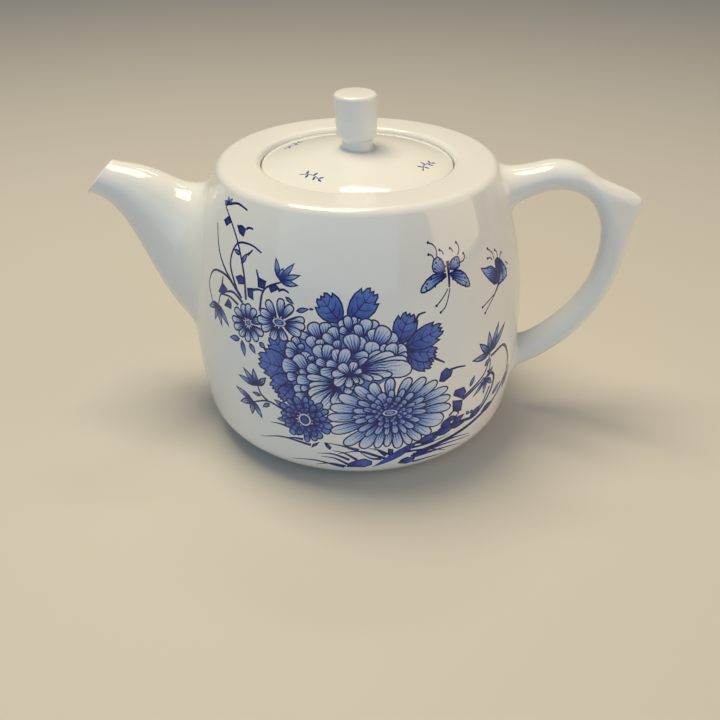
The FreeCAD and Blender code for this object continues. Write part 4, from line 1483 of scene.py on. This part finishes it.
def noise(scale, detail):
    """A noise texture on the piece's own coordinates."""
    node = nodes.new("ShaderNodeTexNoise")
    node.inputs["Scale"].default_value = scale
    node.inputs["Detail"].default_value = detail
    links.new(place.outputs["Object"], node.inputs["Vector"])
    return node


def spread(source, low, high):
    """A noise's middle range stretched to these two values."""
    node = nodes.new("ShaderNodeMapRange")
    node.inputs["From Min"].default_value = 0.3
    node.inputs["From Max"].default_value = 0.7
    node.inputs["To Min"].default_value = low
    node.inputs["To Max"].default_value = high
    links.new(source.outputs["Fac"], node.inputs["Value"])
    return node


drift = noise(28, 2)
shade = nodes.new("ShaderNodeValToRGB")
shade.color_ramp.elements[0].position = 0.35
shade.color_ramp.elements[0].color = (0.765, 0.78, 0.79, 1)
shade.color_ramp.elements[1].position = 0.65
shade.color_ramp.elements[1].color = (0.79, 0.805, 0.815, 1)
links.new(drift.outputs["Fac"], shade.inputs["Fac"])
links.new(shade.outputs["Color"], group_out.inputs["White"])
links.new(spread(noise(160, 3), 0.05, 0.11).outputs["Result"], group_out.inputs["Roughness"])
ripple = nodes.new("ShaderNodeBump")
ripple.inputs["Strength"].default_value = 0.04
ripple.inputs["Distance"].default_value = 0.0006
links.new(noise(120, 1).outputs["Fac"], ripple.inputs["Height"])
links.new(ripple.outputs["Normal"], group_out.inputs["Normal"])
links.new(spread(noise(700, 4), -0.1, 0.1).outputs["Result"], group_out.inputs["Wash"])
print("glaze recipe with", len(nodes), "nodes")


# %% White glaze
def glazed(name):
    """A new material with the glaze's gloss and ripple, its shader and its glaze node."""
    material = bpy.data.materials.new(name)
    material.use_nodes = True
    tree = material.node_tree
    shader = tree.nodes["Principled BSDF"]
    coat = tree.nodes.new("ShaderNodeGroup")
    coat.node_tree = glaze
    shader.inputs["IOR"].default_value = 1.52
    tree.links.new(coat.outputs["Roughness"], shader.inputs["Roughness"])
    tree.links.new(coat.outputs["Normal"], shader.inputs["Normal"])
    return material, shader, coat


white_glaze, shader, coat = glazed("white_glaze")
white_glaze.node_tree.links.new(coat.outputs["White"], shader.inputs["Base Color"])
print("white glaze ready")

# %% [markdown]
# The painted glaze reads what the painting left on the mesh. The wash runs from
# deep at a touch's foot to pale at its tip, and thin veins fan out from a point
# a little behind the foot. Cobalt goes from sky blue to nearly black as it gets
# thicker.

# %% Sums in the painted glaze
painted_glaze, shader, coat = glazed("painted_glaze")
tree = painted_glaze.node_tree


def value(operation, *sources):
    """A sum of the painted glaze's own tree; a source is a number or a socket."""
    node = tree.nodes.new("ShaderNodeMath")
    node.operation = operation
    for socket, source in zip(node.inputs, sources):
        if isinstance(source, (int, float)):
            socket.default_value = source
        else:
            tree.links.new(source, socket)
    return node.outputs["Value"]


def corner_values(name):
    """The three values that the painting left on the mesh under this name."""
    stored = tree.nodes.new("ShaderNodeAttribute")
    stored.attribute_name = name
    parts = tree.nodes.new("ShaderNodeSeparateXYZ")
    tree.links.new(stored.outputs["Vector"], parts.inputs["Vector"])
    return parts.outputs


along, across, length = corner_values("petal")
deep, pale, vein_step = corner_values("tone")
print("the painted glaze reads a place and tones at every corner")

# %% Wash and veins
VEIN_INK = 0.92
VEIN_HALF = 0.19
VEIN_EDGE = 0.08
VEIN_WAVER = 0.25
VEIN_SHORTEST = 0.48
VEIN_LONGER = 0.4
APEX_BEHIND = 0.2
PETAL_SEED = 7.3
NO_VEINS = 0.01
share = value("MINIMUM", value("MAXIMUM", value("DIVIDE", along, length), 0.0), 1.0)
fade = value("POWER", value("SUBTRACT", 1.0, share), 2.0)
wash = value("MULTIPLY_ADD", value("SUBTRACT", deep, pale), fade, pale)

apex = value("MULTIPLY_ADD", length, APEX_BEHIND, along)
reach = value("SQRT", value("MULTIPLY_ADD", apex, apex, value("MULTIPLY", across, across)))
angle = value("MULTIPLY_ADD", coat.outputs["Wash"], VEIN_WAVER, value("ARCTAN2", across, apex))
turns = value("DIVIDE", angle, value("MAXIMUM", vein_step, NO_VEINS))
distance = value("MULTIPLY", value("MULTIPLY", value("PINGPONG", turns, 0.5), vein_step), reach)
chance = tree.nodes.new("ShaderNodeTexWhiteNoise")
chance.noise_dimensions = "1D"
vein_seed = value("MULTIPLY_ADD", length, PETAL_SEED, value("ROUND", turns))
tree.links.new(vein_seed, chance.inputs["W"])
vein_length = value("MULTIPLY_ADD", chance.outputs["Value"], VEIN_LONGER, VEIN_SHORTEST)
vein_left = value("SUBTRACT", 1.0, value("DIVIDE", share, vein_length))
vein_half = value("MULTIPLY", vein_left, VEIN_HALF)
vein = value("SUBTRACT", 1.0, value("DIVIDE", value("SUBTRACT", distance, vein_half), VEIN_EDGE))
vein = value("MINIMUM", value("MAXIMUM", vein, 0.0), value("GREATER_THAN", vein_step, NO_VEINS))
strength = value("MULTIPLY_ADD", value("SUBTRACT", VEIN_INK, wash), vein, wash)
strength = value("MULTIPLY_ADD", coat.outputs["Wash"], strength, strength)
print("wash and veins with", len(tree.nodes), "nodes")

# %% Cobalt over white
COBALT = (
    (0.0, (0.78, 0.795, 0.805, 1)),
    (0.2, (0.40, 0.52, 0.80, 1)),
    (0.45, (0.125, 0.225, 0.61, 1)),
    (0.68, (0.04, 0.085, 0.41, 1)),
    (0.88, (0.012, 0.022, 0.19, 1)),
    (1.0, (0.006, 0.011, 0.1, 1)),
)
NO_PAINT = 0.01
blue = tree.nodes.new("ShaderNodeValToRGB")
blue.color_ramp.elements[0].color = COBALT[0][1]
blue.color_ramp.elements[1].color = COBALT[-1][1]
for position, colour in COBALT[1:-1]:
    blue.color_ramp.elements.new(position).color = colour
tree.links.new(strength, blue.inputs["Fac"])
mixed = tree.nodes.new("ShaderNodeMix")
mixed.data_type = "RGBA"
tree.links.new(value("GREATER_THAN", deep, NO_PAINT), mixed.inputs["Factor"])
tree.links.new(coat.outputs["White"], mixed.inputs["A"])
tree.links.new(blue.outputs["Color"], mixed.inputs["B"])
tree.links.new(mixed.outputs["Result"], shader.inputs["Base Color"])
print("painted glaze with", len(tree.nodes), "nodes")

# %% Glaze on every piece
pot.data.materials.append(painted_glaze)
lid.data.materials.clear()
lid.data.materials.append(painted_glaze)
for piece in (knob, spout, handle):
    piece.data.materials.append(white_glaze)
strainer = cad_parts["strainer"]
strainer.data.materials.clear()
strainer.data.materials.append(white_glaze)
print("glazed:", [piece.name for piece in (pot, lid, knob, spout, handle, strainer)])

# %% [markdown]
# The pot stands on a plain pale floor under soft lamps: a warm one overhead, a
# cooler one in front that lies on the belly as a broad gleam, a narrow strip that
# draws a gleam on the edge of the lid, and a weak warm one for the handle's side.
# The camera stands where it sees the pot from a little above.

# %% Floor
FLOOR_HALF = 4.0
floor_mesh = bpy.data.meshes.new("floor")
clay = bmesh.new()
bmesh.ops.create_grid(clay, x_segments=1, y_segments=1, size=FLOOR_HALF)
clay.to_mesh(floor_mesh)
clay.free()
floor = bpy.data.objects.new("floor", floor_mesh)
bpy.context.collection.objects.link(floor)
floor_colour = bpy.data.materials.new("floor")
floor_colour.use_nodes = True
floor_shader = floor_colour.node_tree.nodes["Principled BSDF"]
floor_shader.inputs["Base Color"].default_value = (0.60, 0.585, 0.56, 1)
floor_shader.inputs["Roughness"].default_value = 0.6
floor_mesh.materials.append(floor_colour)
floor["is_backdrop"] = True
print("floor", 2 * FLOOR_HALF, "m wide")


# %% Lamps
def lamp(name, place, aim, width, height, power, colour):
    """A soft oblong lamp at a place, turned to an aim."""
    data = bpy.data.lights.new(name, "AREA")
    data.shape = "RECTANGLE"
    data.size = width
    data.size_y = height
    data.energy = power
    data.color = colour
    shining = bpy.data.objects.new(name, data)
    shining.location = place
    shining.rotation_euler = (Vector(aim) - Vector(place)).to_track_quat("-Z", "Y").to_euler()
    bpy.context.collection.objects.link(shining)
    shining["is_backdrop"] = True


lamp("overhead", (-0.12, 0.05, 0.62), (0, 0, 0.05), 0.3, 0.3, 3.3, (1.0, 0.84, 0.56))
lamp("strip", (0.0, 0.38, 0.62), (0, 0, 0.06), 0.17, 0.04, 0.22, (1.0, 0.95, 0.86))
lamp("front", (-0.25, -1.3, 0.5), (0, 0, 0.04), 2.6, 1.0, 6.6, (0.56, 0.8, 1.0))
lamp("right", (0.62, -0.12, 0.24), (0.04, 0, 0.05), 0.5, 0.4, 1.3, (1.0, 0.74, 0.46))
world = bpy.data.worlds.new("studio")
world.use_nodes = True
sky = world.node_tree.nodes["Background"]
sky.inputs["Color"].default_value = (0.9, 0.95, 1.0, 1)
sky.inputs["Strength"].default_value = 0.17
scene = bpy.context.scene
scene.world = world
scene.view_settings.view_transform = "Standard"
print(len(bpy.data.lights), "lamps")

# %% Camera
camera_data = bpy.data.cameras.new("camera")
camera_data.lens = 48.2
camera_data.sensor_width = 36.0
camera_data.clip_start = 0.01
camera = bpy.data.objects.new("camera", camera_data)
camera.location = (0.01717, -0.23608, 0.155)
camera.rotation_euler = (math.radians(59.13), 0, math.radians(4.0))
bpy.context.collection.objects.link(camera)
scene.camera = camera
print("camera with a lens of", round(camera_data.lens, 1), "mm")

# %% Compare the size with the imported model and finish
new_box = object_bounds()
for name, box in (("model", cad_box), ("scene", new_box)):
    print(name, "box in mm:", [[round(side / MM, 2) for side in place] for place in box])
